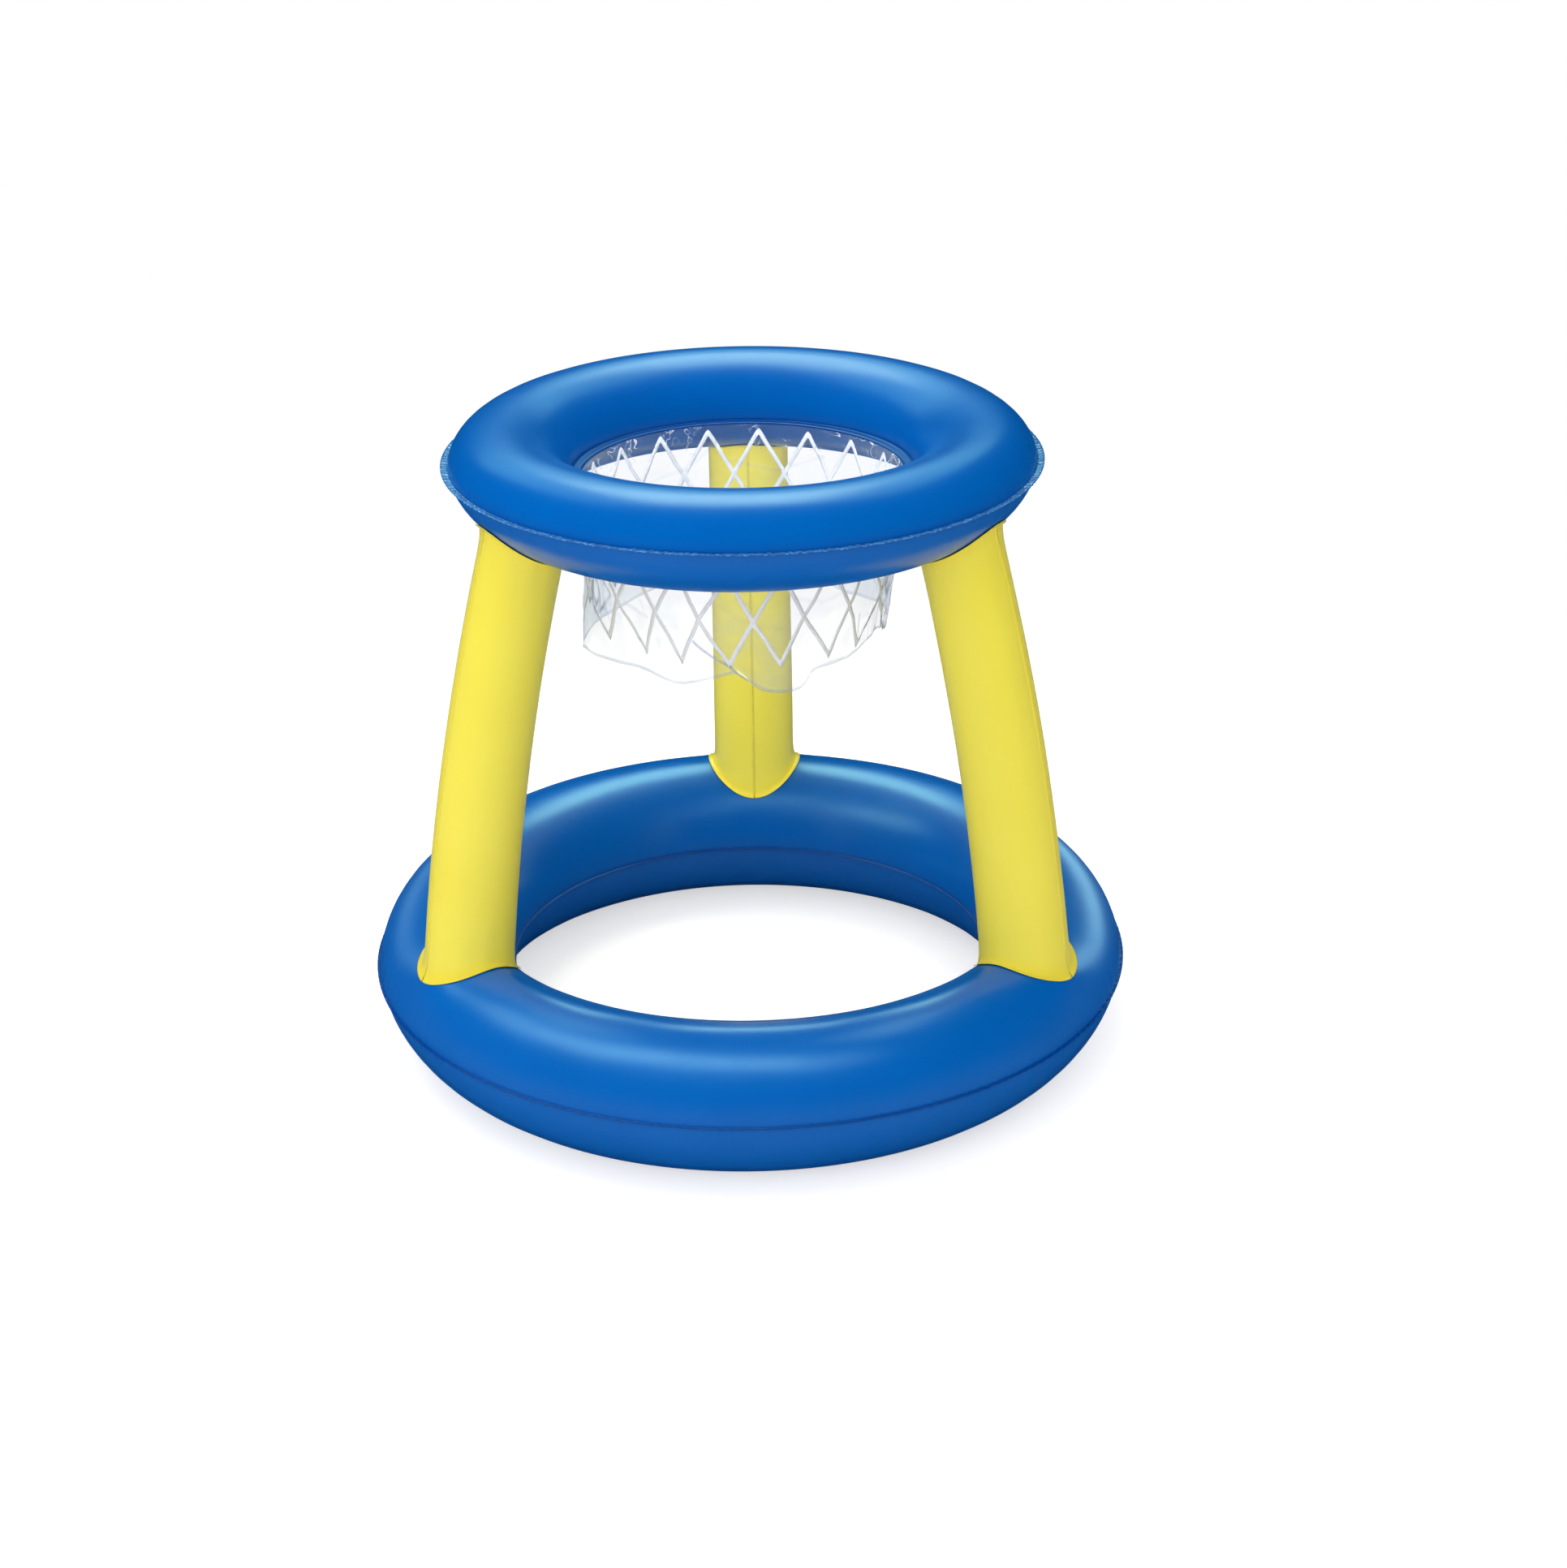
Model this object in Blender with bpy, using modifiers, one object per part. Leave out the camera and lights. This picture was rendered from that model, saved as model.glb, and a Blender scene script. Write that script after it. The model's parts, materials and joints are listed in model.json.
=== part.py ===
"""Inflatable floating basketball hoop, modelled panel by welded panel.

A wide base ring floats on the water and carries three inflated legs.  The legs
carry a smaller hoop ring, and a clear film net with a printed white lattice
hangs from the weld inside it.  Each air chamber has one push-in valve.
Metres, +Z up, origin on the floor under the middle of the base ring.
"""
import math
from dataclasses import dataclass

import bmesh
import bpy
from mathutils import Matrix, Vector

# Sheet vinyl, and the clearances that part welded or resting pieces
VINYL_WALL = 0.0003
FILM_WALL = 0.0002
PRINT_WALL = 0.0002
WELD_GAP = 0.0003
SEAT_GAP = 0.0006
PRINT_GAP = 0.0004

# Base ring: radii over the weld edges, height of the blown tube
BASE_OUTER_RADIUS = 0.305
BASE_HOLE_RADIUS = 0.1925
BASE_TUBE_HEIGHT = 0.122
BASE_OUTER_WELD = 0.0025
BASE_INNER_WELD = 0.0025
BASE_REST_BAND = 0.020
BASE_REST_DEPTH = 0.0005
BASE_POWER_SHARE = 1.75
BASE_LEAN_SHARE = 0.065

# Hoop ring: the same things, and the height of its tube's centre
HOOP_OUTER_RADIUS = 0.231
HOOP_HOLE_RADIUS = 0.1246
HOOP_TUBE_HEIGHT = 0.077
HOOP_OUTER_WELD = 0.0055
HOOP_INNER_WELD = 0.008
HOOP_CENTRE_HEIGHT = 0.4755
HOOP_POWER_SHARE = 1.82
HOOP_LEAN_SHARE = 0.13

# Three legs, each a tapered tube of two panels with splayed, welded ends
LEG_NAMES = ("back_leg", "left_leg", "right_leg")
LEG_FOOT_DIAMETER = 0.070
LEG_HEAD_DIAMETER = 0.0655
LEG_HEAD_OUTSET = 0.0105
LEG_BOW = 0.0068
LEG_SEAM_WIDTH = 0.0025
LEG_BRIM_WIDTH = 0.0055
LEG_VENT_DIAMETER = 0.024
LEG_ROW_SHARES = (0, 0.03, 0.09, 0.3, 0.5, 0.7, 0.91, 0.97, 1)
LEG_SEAM_END_SHARES = (0.05, 0.95)

# Net: a film skirt welded under the hoop ring's inner weld
NET_DROP = 0.128
NET_WELD_WIDTH = 0.0065
NET_TURN_RADIUS = 0.002
NET_FOLD_COUNT = 8
NET_FOLD_DEPTH = 0.0045
NET_HEM_WAVE = 0.004
NET_REPEATS = 19
NET_LEVELS = 3
NET_CELL_RISE = 0.0355
NET_PRINT_DROP = 0.0025
NET_LINE_WIDTH = 0.0026
NET_PHASE_SHARE = -0.5

# Push-in valves, measured along and across their own axes
VALVE_BEARING = math.radians(120)
BASE_VALVE_TURN = math.radians(36)
HOOP_VALVE_TURN = math.radians(-54)
VALVE_FLANGE_DIAMETER = 0.032
VALVE_FLANGE_WALL = 0.0006
VALVE_STEM_DIAMETER = 0.0138
VALVE_BORE_DIAMETER = 0.008
VALVE_STEM_LENGTH = 0.0142
VALVE_COLLAR_DIAMETER = 0.0172
VALVE_COLLAR_HEIGHT = 0.0012
VALVE_RUNNING_GAP = 0.0004
VALVE_LUG_INSET = 0.0002
VALVE_SKIN_HOLE_DIAMETER = 0.018
PLUG_CAP_DIAMETER = 0.0144
PLUG_CAP_HEIGHT = 0.0016
PLUG_PEG_DIAMETER = 0.0066
PLUG_PEG_TIP_DIAMETER = 0.0056
PLUG_PEG_LENGTH = 0.004
STRAP_WIDTH = 0.004
STRAP_WALL = 0.001
STRAP_REACH = 0.0024
STRAP_INSET = 0.0002
FLAP_DIAMETER = 0.0104
FLAP_WALL = 0.0006
FLAP_TONGUE_WIDTH = 0.003
FLAP_TONGUE_REACH = 0.0007

# Facets of the finished meshes
RING_STEPS = 48
SECTION_STEPS = 10
LEG_PANEL_STEPS = 14
VALVE_STEPS = 16
ROLL_STEPS = 10
SEAT_PASSES = 6
CUT_OVERRUN = 0.004
MERGE_DISTANCE = 0.00001

COLLECTION_NAME = "floating_basketball_hoop"
BLUE_VINYL = ("blue_vinyl", (0.0, 0.112, 0.479, 1.0), 0.32)
YELLOW_VINYL = ("yellow_vinyl", (0.791, 0.693, 0.082, 1.0), 0.36)
CLEAR_FILM = ("clear_film", (0.9, 0.93, 0.95, 0.3), 0.12)
WHITE_PRINT = ("white_print", (0.9, 0.91, 0.92, 1.0), 0.5)
VALVE_VINYL = ("valve_vinyl", (0.78, 0.82, 0.85, 1.0), 0.3)


@dataclass
class Ring:
    """A tube ring welded from two flat annular sheets along its inner and outer edges."""
    outer_radius: float
    hole_radius: float
    tube_height: float
    outer_weld: float
    inner_weld: float
    centre_height: float
    power: float
    lean: float
    rest_band: float = 0
    rest_depth: float = 0

    @property
    def seam_radii(self):
        """Radii where the flat weld edges end and the blown tube begins."""
        return self.hole_radius + self.inner_weld, self.outer_radius - self.outer_weld

    @property
    def centre_radius(self):
        return sum(self.seam_radii) / 2

    @property
    def half_width(self):
        return (self.seam_radii[1] - self.seam_radii[0]) / 2

    @property
    def half_height(self):
        return self.tube_height / 2

    def height_at(self, radius, side):
        """Height of the upper (side 1) or lower (side -1) skin's outer face at a radius."""
        across = radius - self.centre_radius
        share = min(1, abs(across) / self.half_width)
        rise = self.half_height * (1 - share ** self.power) ** (1 / self.power)
        return self.centre_height + self.lean * across + side * rise

    def frame_at(self, bearing, turn):
        """Outer face point and outward normal; the turn starts at the outer seam, up is plus."""
        exponent = 2 / self.power
        across = self.half_width * math.cos(turn) ** exponent
        rise = self.half_height * math.copysign(abs(math.sin(turn)) ** exponent, turn)
        outward = math.cos(turn) ** (2 - exponent) / self.half_width
        upward = math.copysign(abs(math.sin(turn)) ** (2 - exponent), turn) / self.half_height
        radial = Vector((math.cos(bearing), math.sin(bearing), 0))
        height = self.centre_height + self.lean * across + rise
        point = radial * (self.centre_radius + across) + Vector((0, 0, height))
        normal = radial * (outward - self.lean * upward) + Vector((0, 0, upward))
        return point, normal.normalized()


BASE = Ring(
    BASE_OUTER_RADIUS,
    BASE_HOLE_RADIUS,
    BASE_TUBE_HEIGHT,
    BASE_OUTER_WELD,
    BASE_INNER_WELD,
    BASE_TUBE_HEIGHT / 2 - BASE_REST_DEPTH,
    BASE_POWER_SHARE,
    BASE_LEAN_SHARE,
    BASE_REST_BAND,
    BASE_REST_DEPTH,
)
HOOP = Ring(
    HOOP_OUTER_RADIUS,
    HOOP_HOLE_RADIUS,
    HOOP_TUBE_HEIGHT,
    HOOP_OUTER_WELD,
    HOOP_INNER_WELD,
    HOOP_CENTRE_HEIGHT,
    HOOP_POWER_SHARE,
    HOOP_LEAN_SHARE,
)


def clear_scene():
    for item in list(bpy.data.objects):
        bpy.data.objects.remove(item, do_unlink=True)


def make_collection(name):
    collection = bpy.data.collections.new(name)
    bpy.context.scene.collection.children.link(collection)
    return collection


def make_material(name, colour, roughness):
    """Principled material with the part's colour, see-through where its alpha is below 1."""
    material = bpy.data.materials.new(name)
    material.use_nodes = True
    shader = material.node_tree.nodes["Principled BSDF"]
    shader.inputs["Base Color"].default_value = colour
    shader.inputs["Roughness"].default_value = roughness
    shader.inputs["Metallic"].default_value = 0
    shader.inputs["Alpha"].default_value = colour[3]
    return material


def make_object(name, mesh, collection, finish=None, parent=None):
    item = bpy.data.objects.new(name, mesh)
    collection.objects.link(item)
    item.parent = parent
    if finish:
        material = make_material(name + "_" + finish[0], finish[1], finish[2])
        mesh.materials.clear()
        mesh.materials.append(material)
    return item


def make_empty(name, collection, matrix, parent=None):
    empty = bpy.data.objects.new(name, None)
    collection.objects.link(empty)
    empty.parent = parent
    empty.matrix_local = matrix
    return empty


def grid_mesh(name, rows, around=False, flip=False):
    """Mesh over a grid of points; around joins each row's last point to its first."""
    mesh = bpy.data.meshes.new(name)
    count = len(rows[0])
    points = [point for row in rows for point in row]
    spans = count if around else count - 1
    faces = []
    for row in range(len(rows) - 1):
        for column in range(spans):
            near = row * count + column
            far = row * count + (column + 1) % count
            faces.append((near, far, far + count, near + count))
    if flip:
        faces = [face[::-1] for face in faces]
    mesh.from_pydata(points, [], faces)
    mesh.shade_smooth()
    return mesh


def thicken(item, wall, offset=-1):
    modifier = item.modifiers.new("wall", "SOLIDIFY")
    modifier.thickness = wall
    modifier.offset = offset
    modifier.use_even_offset = True
    return modifier


def turn_outline(name, outline, steps, collection, finish=None, parent=None, closed=True):
    """Object turned about its own Z axis from an outline that runs down its outer side."""
    mesh = bpy.data.meshes.new(name)
    edges = [(index, index + 1) for index in range(len(outline) - 1)]
    if closed:
        edges.append((len(outline) - 1, 0))
    mesh.from_pydata([(radius, 0, height) for radius, height in outline], edges, [])
    item = make_object(name, mesh, collection, finish, parent)
    modifier = item.modifiers.new("turn", "SCREW")
    modifier.steps = steps
    modifier.render_steps = steps
    modifier.use_merge_vertices = True
    modifier.merge_threshold = MERGE_DISTANCE
    modifier.use_smooth_shade = True
    return item


def block(name, low, high, collection, parent=None):
    """Guide box between two corners, as one operand of a Boolean."""
    mesh = bpy.data.meshes.new(name)
    shape = bmesh.new()
    bmesh.ops.create_cube(shape, size=1)
    centre = (Vector(low) + Vector(high)) / 2
    size = Vector(high) - Vector(low)
    bmesh.ops.scale(shape, vec=size, verts=shape.verts)
    bmesh.ops.translate(shape, vec=centre, verts=shape.verts)
    shape.to_mesh(mesh)
    shape.free()
    return as_guide(make_object(name, mesh, collection, parent=parent))


def rod(name, diameter, length, matrix, steps, collection, parent=None):
    """Guide cylinder centred on a matrix, along its Z axis."""
    mesh = bpy.data.meshes.new(name)
    shape = bmesh.new()
    bmesh.ops.create_cone(
        shape,
        cap_ends=True,
        segments=steps,
        radius1=diameter / 2,
        radius2=diameter / 2,
        depth=length,
        matrix=matrix,
    )
    shape.to_mesh(mesh)
    shape.free()
    return as_guide(make_object(name, mesh, collection, parent=parent))


def as_guide(item):
    item.hide_render = True
    item.display_type = "WIRE"
    return item


def combine(item, other, operation):
    modifier = item.modifiers.new(operation.lower(), "BOOLEAN")
    modifier.operation = operation
    modifier.object = other
    modifier.solver = "EXACT"
    return modifier


# Ring skins


def skin_face(ring, side, inset):
    """Points of one face of a skin, from the inner weld edge to the outer one."""
    exponent = 2 / ring.power
    least = WELD_GAP / 2 + VINYL_WALL - inset
    inner_edge = ring.hole_radius - ring.centre_radius
    outer_edge = ring.outer_radius - ring.centre_radius
    points = [(inner_edge, side * least)]
    for step in range(SECTION_STEPS + 1):
        turn = math.pi * (1 - step / SECTION_STEPS)
        across = math.copysign(abs(math.cos(turn)) ** exponent, math.cos(turn))
        rise = abs(math.sin(turn)) ** exponent * (ring.half_height - inset)
        points.append((across * (ring.half_width - inset), side * max(rise, least)))
    points.append((outer_edge, side * least))
    leaned = [(across, ring.lean * across + rise) for across, rise in points]
    if side < 0 and ring.rest_band:
        flat = ring.rest_depth - ring.half_height + inset
        half_band = ring.rest_band / 2
        before = [point for point in leaned if point[0] < -half_band]
        after = [point for point in leaned if point[0] > half_band]
        leaned = before + [(-half_band, flat), (half_band, flat)] + after
    return [(ring.centre_radius + across, ring.centre_height + rise) for across, rise in leaned]


def ring_skin(name, ring, side, collection):
    """Upper or lower skin, from weld edge to weld edge, as one turned sheet."""
    outside = skin_face(ring, side, 0)
    inside = skin_face(ring, side, VINYL_WALL)
    if side > 0:
        outline = outside + inside[::-1]
    else:
        outline = inside + outside[::-1]
    return turn_outline(name, outline, RING_STEPS, collection, BLUE_VINYL)


def vent_cutters(guides):
    """Round vents under the feet, through which the legs share the base ring's air."""
    cutters = []
    crest = BASE.height_at(BASE.centre_radius, 1)
    for index, leg_name in enumerate(LEG_NAMES):
        turned = Matrix.Rotation(leg_bearing(index), 4, "Z")
        matrix = turned @ Matrix.Translation((BASE.centre_radius, 0, crest))
        name = leg_name + "_vent_cutter"
        cutters.append(rod(name, LEG_VENT_DIAMETER, CUT_OVERRUN * 2, matrix, VALVE_STEPS, guides))
    return cutters


# Legs


def leg_bearing(index):
    """Legs stand at even bearings, the first one at the back on +Y."""
    return math.pi / 2 + math.tau * index / len(LEG_NAMES)


def seated_height(ring, side, across, along):
    """Height beside a leg that keeps the sheet's outer face square off the ring's skin."""
    step = math.tau / RING_STEPS
    radius = math.hypot(across, along)
    bearing = math.atan2(along, across)
    middle = (math.floor(bearing / step) + 0.5) * step
    facet_radius = radius * math.cos(bearing - middle) / math.cos(step / 2)
    skin = max(side * ring.height_at(value, side) for value in (radius, facet_radius))
    probe = ring.half_width / SECTION_STEPS / SECTION_STEPS
    slope = (ring.height_at(radius + probe, side) - ring.height_at(radius - probe, side)) / probe / 2
    return side * (skin + (SEAT_GAP + VINYL_WALL) * math.hypot(1, slope))


def leg_centre(height):
    """Distance of the leg's centre line from the hoop's axis at a height."""
    low = BASE.height_at(BASE.centre_radius, 1)
    head_radius = HOOP.centre_radius + LEG_HEAD_OUTSET
    high = HOOP.height_at(HOOP.centre_radius, -1)
    share = (height - low) / (high - low)
    straight = BASE.centre_radius + (head_radius - BASE.centre_radius) * share
    return straight + LEG_BOW * 4 * share * (1 - share)


def end_height(ring, side, across, along):
    """Height of the leg sheet's outer face where it meets a ring, found by repeated seating."""
    height = ring.height_at(ring.centre_radius, side)
    for _ in range(SEAT_PASSES):
        height = seated_height(ring, side, leg_centre(height) + across, along)
    return height


def panel_outline(radius, seam_width, extra):
    """One panel's plan outline round the leg's centre, with its two flat seam edges."""
    seam_face = WELD_GAP / 2 + VINYL_WALL
    start = math.asin(seam_face / (radius + extra))
    points = [(radius + extra + seam_width, seam_face)]
    for step in range(LEG_PANEL_STEPS + 1):
        angle = start + (math.pi - 2 * start) * step / LEG_PANEL_STEPS
        reach = radius + extra
        points.append((reach * math.cos(angle), reach * math.sin(angle)))
    points.append((-radius - extra - seam_width, seam_face))
    return points


def panel_row(share, extra, hand):
    """Points of one row of a panel at a share of its rise, or of a brim's edge."""
    radius = (LEG_FOOT_DIAMETER + (LEG_HEAD_DIAMETER - LEG_FOOT_DIAMETER) * share) / 2
    on_seam = LEG_SEAM_END_SHARES[0] < share < LEG_SEAM_END_SHARES[1]
    seam_width = LEG_SEAM_WIDTH if on_seam else 0
    row = []
    for across, along in panel_outline(radius, seam_width, extra):
        foot = end_height(BASE, 1, across, along)
        head = end_height(HOOP, -1, across, along)
        height = foot + (head - foot) * share
        row.append((leg_centre(height) + across, hand * along, height))
    return row


def leg_panel_mesh(name, hand):
    """Half of a leg: foot brim, rising rows, head brim."""
    rows = [panel_row(0, LEG_BRIM_WIDTH, hand)]
    rows += [panel_row(share, 0, hand) for share in LEG_ROW_SHARES]
    rows.append(panel_row(1, LEG_BRIM_WIDTH, hand))
    return grid_mesh(name, rows, flip=hand < 0)


def join_seam_ends(panel):
    """The seam edge narrows to nothing short of a brim, where its two points become one."""
    modifier = panel.modifiers.new("seam ends", "WELD")
    modifier.merge_threshold = MERGE_DISTANCE


def make_legs(collection):
    sides = (("left", 1), ("right", -1))
    for index, leg_name in enumerate(LEG_NAMES):
        for side_name, hand in sides:
            name = leg_name + "_" + side_name + "_panel"
            panel = make_object(name, leg_panel_mesh(name, hand), collection, YELLOW_VINYL)
            panel.rotation_euler.z = leg_bearing(index)
            join_seam_ends(panel)
            thicken(panel, VINYL_WALL)


# Net


def net_top():
    """Height of the weld strip's lower face, where it hangs under the hoop's inner weld edge."""
    across = HOOP.hole_radius - HOOP.centre_radius
    weld_middle = HOOP.centre_height + HOOP.lean * across
    return weld_middle - WELD_GAP / 2 - VINYL_WALL - WELD_GAP - FILM_WALL


def net_bearing(column):
    """Two columns go to each repeat of the lattice."""
    return math.tau * (column / 2 + NET_PHASE_SHARE) / NET_REPEATS


def net_wall_point(column, drop, lift=0):
    """Point on the hanging film at a column and a distance below its top."""
    bearing = net_bearing(column)
    share = max(0, drop - NET_TURN_RADIUS) / (NET_DROP - NET_TURN_RADIUS)
    fold = math.cos(NET_FOLD_COUNT * bearing)
    radius = HOOP.hole_radius - NET_FOLD_DEPTH * share * (1 - fold) / 2 + lift
    return Vector((radius * math.cos(bearing), radius * math.sin(bearing), net_top() - drop))


def net_hem_drop(column):
    """The hem rises and falls with the folds."""
    return NET_DROP + NET_HEM_WAVE * math.sin(NET_FOLD_COUNT * net_bearing(column))


def net_level_drop(level):
    return NET_TURN_RADIUS + NET_PRINT_DROP + NET_CELL_RISE * level


def make_net_film(collection):
    """Skirt of clear film: flat weld strip above, then the folded wall down to its hem."""
    columns = range(2 * NET_REPEATS)
    rows = []
    for width in (NET_WELD_WIDTH, 0):
        row = []
        for column in columns:
            point = net_wall_point(column, 0, width)
            point.z += HOOP.lean * width
            row.append(point)
        rows.append(row)
    drops = [NET_TURN_RADIUS] + [net_level_drop(level) for level in range(NET_LEVELS + 1)]
    rows += [[net_wall_point(column, drop) for column in columns] for drop in drops]
    rows.append([net_wall_point(column, net_hem_drop(column)) for column in columns])
    film = make_object("net_film", grid_mesh("net_film", rows, True, True), collection, CLEAR_FILM)
    thicken(film, FILM_WALL)


def print_point(column, level):
    """Point on the printed face, on the flat film between two neighbouring columns."""
    low = math.floor(column)
    drop = net_level_drop(level)
    first = net_wall_point(low, drop, PRINT_GAP)
    second = net_wall_point(low + 1, drop, PRINT_GAP)
    return first.lerp(second, column - low)


def make_net_print(collection):
    """White lattice: a small diamond at each crossing, and a slanted line to each neighbour."""
    column_width = math.tau * HOOP.hole_radius / (2 * NET_REPEATS)
    slant = math.hypot(column_width, NET_CELL_RISE)
    half_tall = NET_LINE_WIDTH * slant / column_width / 2 / NET_CELL_RISE
    half_wide = NET_LINE_WIDTH * slant / NET_CELL_RISE / 2 / column_width
    points = []
    corner = {}
    crossings = []
    for level in range(NET_LEVELS + 1):
        for column in range(level % 2, 2 * NET_REPEATS, 2):
            crossings.append((column, level))
            offsets = ((0, -half_tall), (half_wide, 0), (0, half_tall), (-half_wide, 0))
            for side, (aside, down) in zip(("top", "right", "foot", "left"), offsets):
                corner[column, level, side] = len(points)
                points.append(print_point(column + aside, level + down))
    faces = []
    for column, level in crossings:
        own = [corner[column, level, side] for side in ("top", "right", "foot", "left")]
        faces += [(own[0], own[3], own[2]), (own[0], own[2], own[1])]
        if level == NET_LEVELS:
            continue
        right = ((column + 1) % (2 * NET_REPEATS), level + 1)
        left = ((column - 1) % (2 * NET_REPEATS), level + 1)
        faces.append((own[1], own[2], corner[(*right, "left")], corner[(*right, "top")]))
        faces.append((own[2], own[3], corner[(*left, "top")], corner[(*left, "right")]))
    mesh = bpy.data.meshes.new("net_print")
    mesh.from_pydata(points, [], faces)
    net_print = make_object("net_print", mesh, collection, WHITE_PRINT)
    thicken(net_print, PRINT_WALL, 1)


# Valves


def valve_matrix(ring, turn):
    """Valve frame on a ring's outer flank: Z out of the tube, X away from the outer weld."""
    point, normal = ring.frame_at(VALVE_BEARING, turn)
    uphill = flank_run(ring, turn)
    uphill = (uphill - normal * uphill.dot(normal)).normalized()
    axes = Matrix((uphill, normal.cross(uphill), normal)).transposed()
    return Matrix.Translation(point) @ axes.to_4x4()


def flank_run(ring, turn):
    """Way travelled over the flank, away from the outer weld, for each radian of turn."""
    probe = math.tau / RING_STEPS / SECTION_STEPS
    start, _ = ring.frame_at(VALVE_BEARING, turn)
    nearby, _ = ring.frame_at(VALVE_BEARING, turn + math.copysign(probe, turn))
    return (nearby - start) / probe


def flange_mesh(name, ring, valve_turn):
    """Round flange that follows the tube's curve, from the stem hole to its rim."""
    inner = VALVE_STEM_DIAMETER / 2 + VALVE_RUNNING_GAP
    outer = VALVE_FLANGE_DIAMETER / 2
    into_frame = valve_matrix(ring, valve_turn).inverted()
    centre, _ = ring.frame_at(VALVE_BEARING, valve_turn)
    side = math.copysign(1, valve_turn)
    turn_per_length = side / flank_run(ring, valve_turn).length
    bearing_per_length = -side / centre.xy.length
    rows = []
    for radius in (inner, (inner + outer) / 2, outer):
        row = []
        for step in range(VALVE_STEPS):
            angle = math.tau * step / VALVE_STEPS
            turn = valve_turn + radius * math.cos(angle) * turn_per_length
            bearing = VALVE_BEARING + radius * math.sin(angle) * bearing_per_length
            point, normal = ring.frame_at(bearing, turn)
            row.append(into_frame @ (point + normal * WELD_GAP))
        rows.append(row)
    return grid_mesh(name, rows, around=True, flip=True)


def make_flange(name, ring, turn, collection, frame):
    flange = make_object(name, flange_mesh(name, ring, turn), collection, VALVE_VINYL, frame)
    thicken(flange, VALVE_FLANGE_WALL, 1)


def collar_seat():
    """Height of the stem's collar above the skin, clear of the flange."""
    return WELD_GAP + VALVE_FLANGE_WALL + WELD_GAP


def hinge_place():
    """Strap hinge: beside the collar towards the weld, half a strap above its own seat."""
    reach = PLUG_CAP_DIAMETER / 2 + STRAP_REACH
    cap_seat = collar_seat() + VALVE_COLLAR_HEIGHT + WELD_GAP
    return Vector((-reach, 0, cap_seat + STRAP_INSET + STRAP_WALL / 2))


def make_stem(prefix, collection, guides, frame):
    """Stem tube with a collar, and a lug that carries the plug's strap."""
    bore = VALVE_BORE_DIAMETER / 2
    outside = VALVE_STEM_DIAMETER / 2
    collar = VALVE_COLLAR_DIAMETER / 2
    seat = collar_seat()
    top = seat + VALVE_COLLAR_HEIGHT
    bottom = seat - VALVE_STEM_LENGTH
    outline = [(bore, top), (collar, top), (collar, seat), (outside, seat), (outside, bottom)]
    outline.append((bore, bottom))
    name = prefix + "_valve_stem"
    stem = turn_outline(name, outline, VALVE_STEPS, collection, VALVE_VINYL, frame)
    hinge = hinge_place()
    tip = hinge.x - STRAP_WALL
    root = -(collar + outside) / 2
    low = (tip, -STRAP_WIDTH / 2, seat + VALVE_LUG_INSET)
    high = (root, STRAP_WIDTH / 2, top - VALVE_LUG_INSET)
    combine(stem, block(prefix + "_lug_guide", low, high, guides, frame), "UNION")


def make_plug(prefix, collection, guides, frame):
    """Plug: cap and tapered peg on a strap, all turning about the strap's end."""
    hinge = hinge_place()
    pivot = make_empty(prefix + "_plug_hinge_axis", collection, Matrix.Translation(hinge), frame)
    body = make_empty(prefix + "_plug_place", collection, Matrix.Translation(-hinge), pivot)
    under = collar_seat() + VALVE_COLLAR_HEIGHT + WELD_GAP
    over = under + PLUG_CAP_HEIGHT
    cap = PLUG_CAP_DIAMETER / 2
    peg = PLUG_PEG_DIAMETER / 2
    tip = PLUG_PEG_TIP_DIAMETER / 2
    outline = [(0, over), (cap, over), (cap, under), (peg, under), (tip, under - PLUG_PEG_LENGTH)]
    outline.append((0, under - PLUG_PEG_LENGTH))
    name = prefix + "_valve_plug"
    plug = turn_outline(name, outline, VALVE_STEPS, collection, VALVE_VINYL, body, closed=False)
    low = (hinge.x, -STRAP_WIDTH / 2, hinge.z - STRAP_WALL / 2)
    high = (-(cap + peg) / 2, STRAP_WIDTH / 2, hinge.z + STRAP_WALL / 2)
    combine(plug, block(prefix + "_strap_guide", low, high, guides, body), "UNION")
    across = Matrix.Translation(hinge) @ Matrix.Rotation(math.pi / 2, 4, "X")
    roll_length = STRAP_WIDTH + STRAP_INSET
    roll = rod(prefix + "_roll_guide", STRAP_WALL, roll_length, across, ROLL_STEPS, guides, body)
    combine(plug, roll, "UNION")


def flap_place():
    """Flap hinge under the stem's inner end, beside the bore."""
    reach = FLAP_DIAMETER / 2 + FLAP_TONGUE_REACH
    return Vector((-reach, 0, collar_seat() - VALVE_STEM_LENGTH - WELD_GAP - FLAP_WALL / 2))


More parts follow.
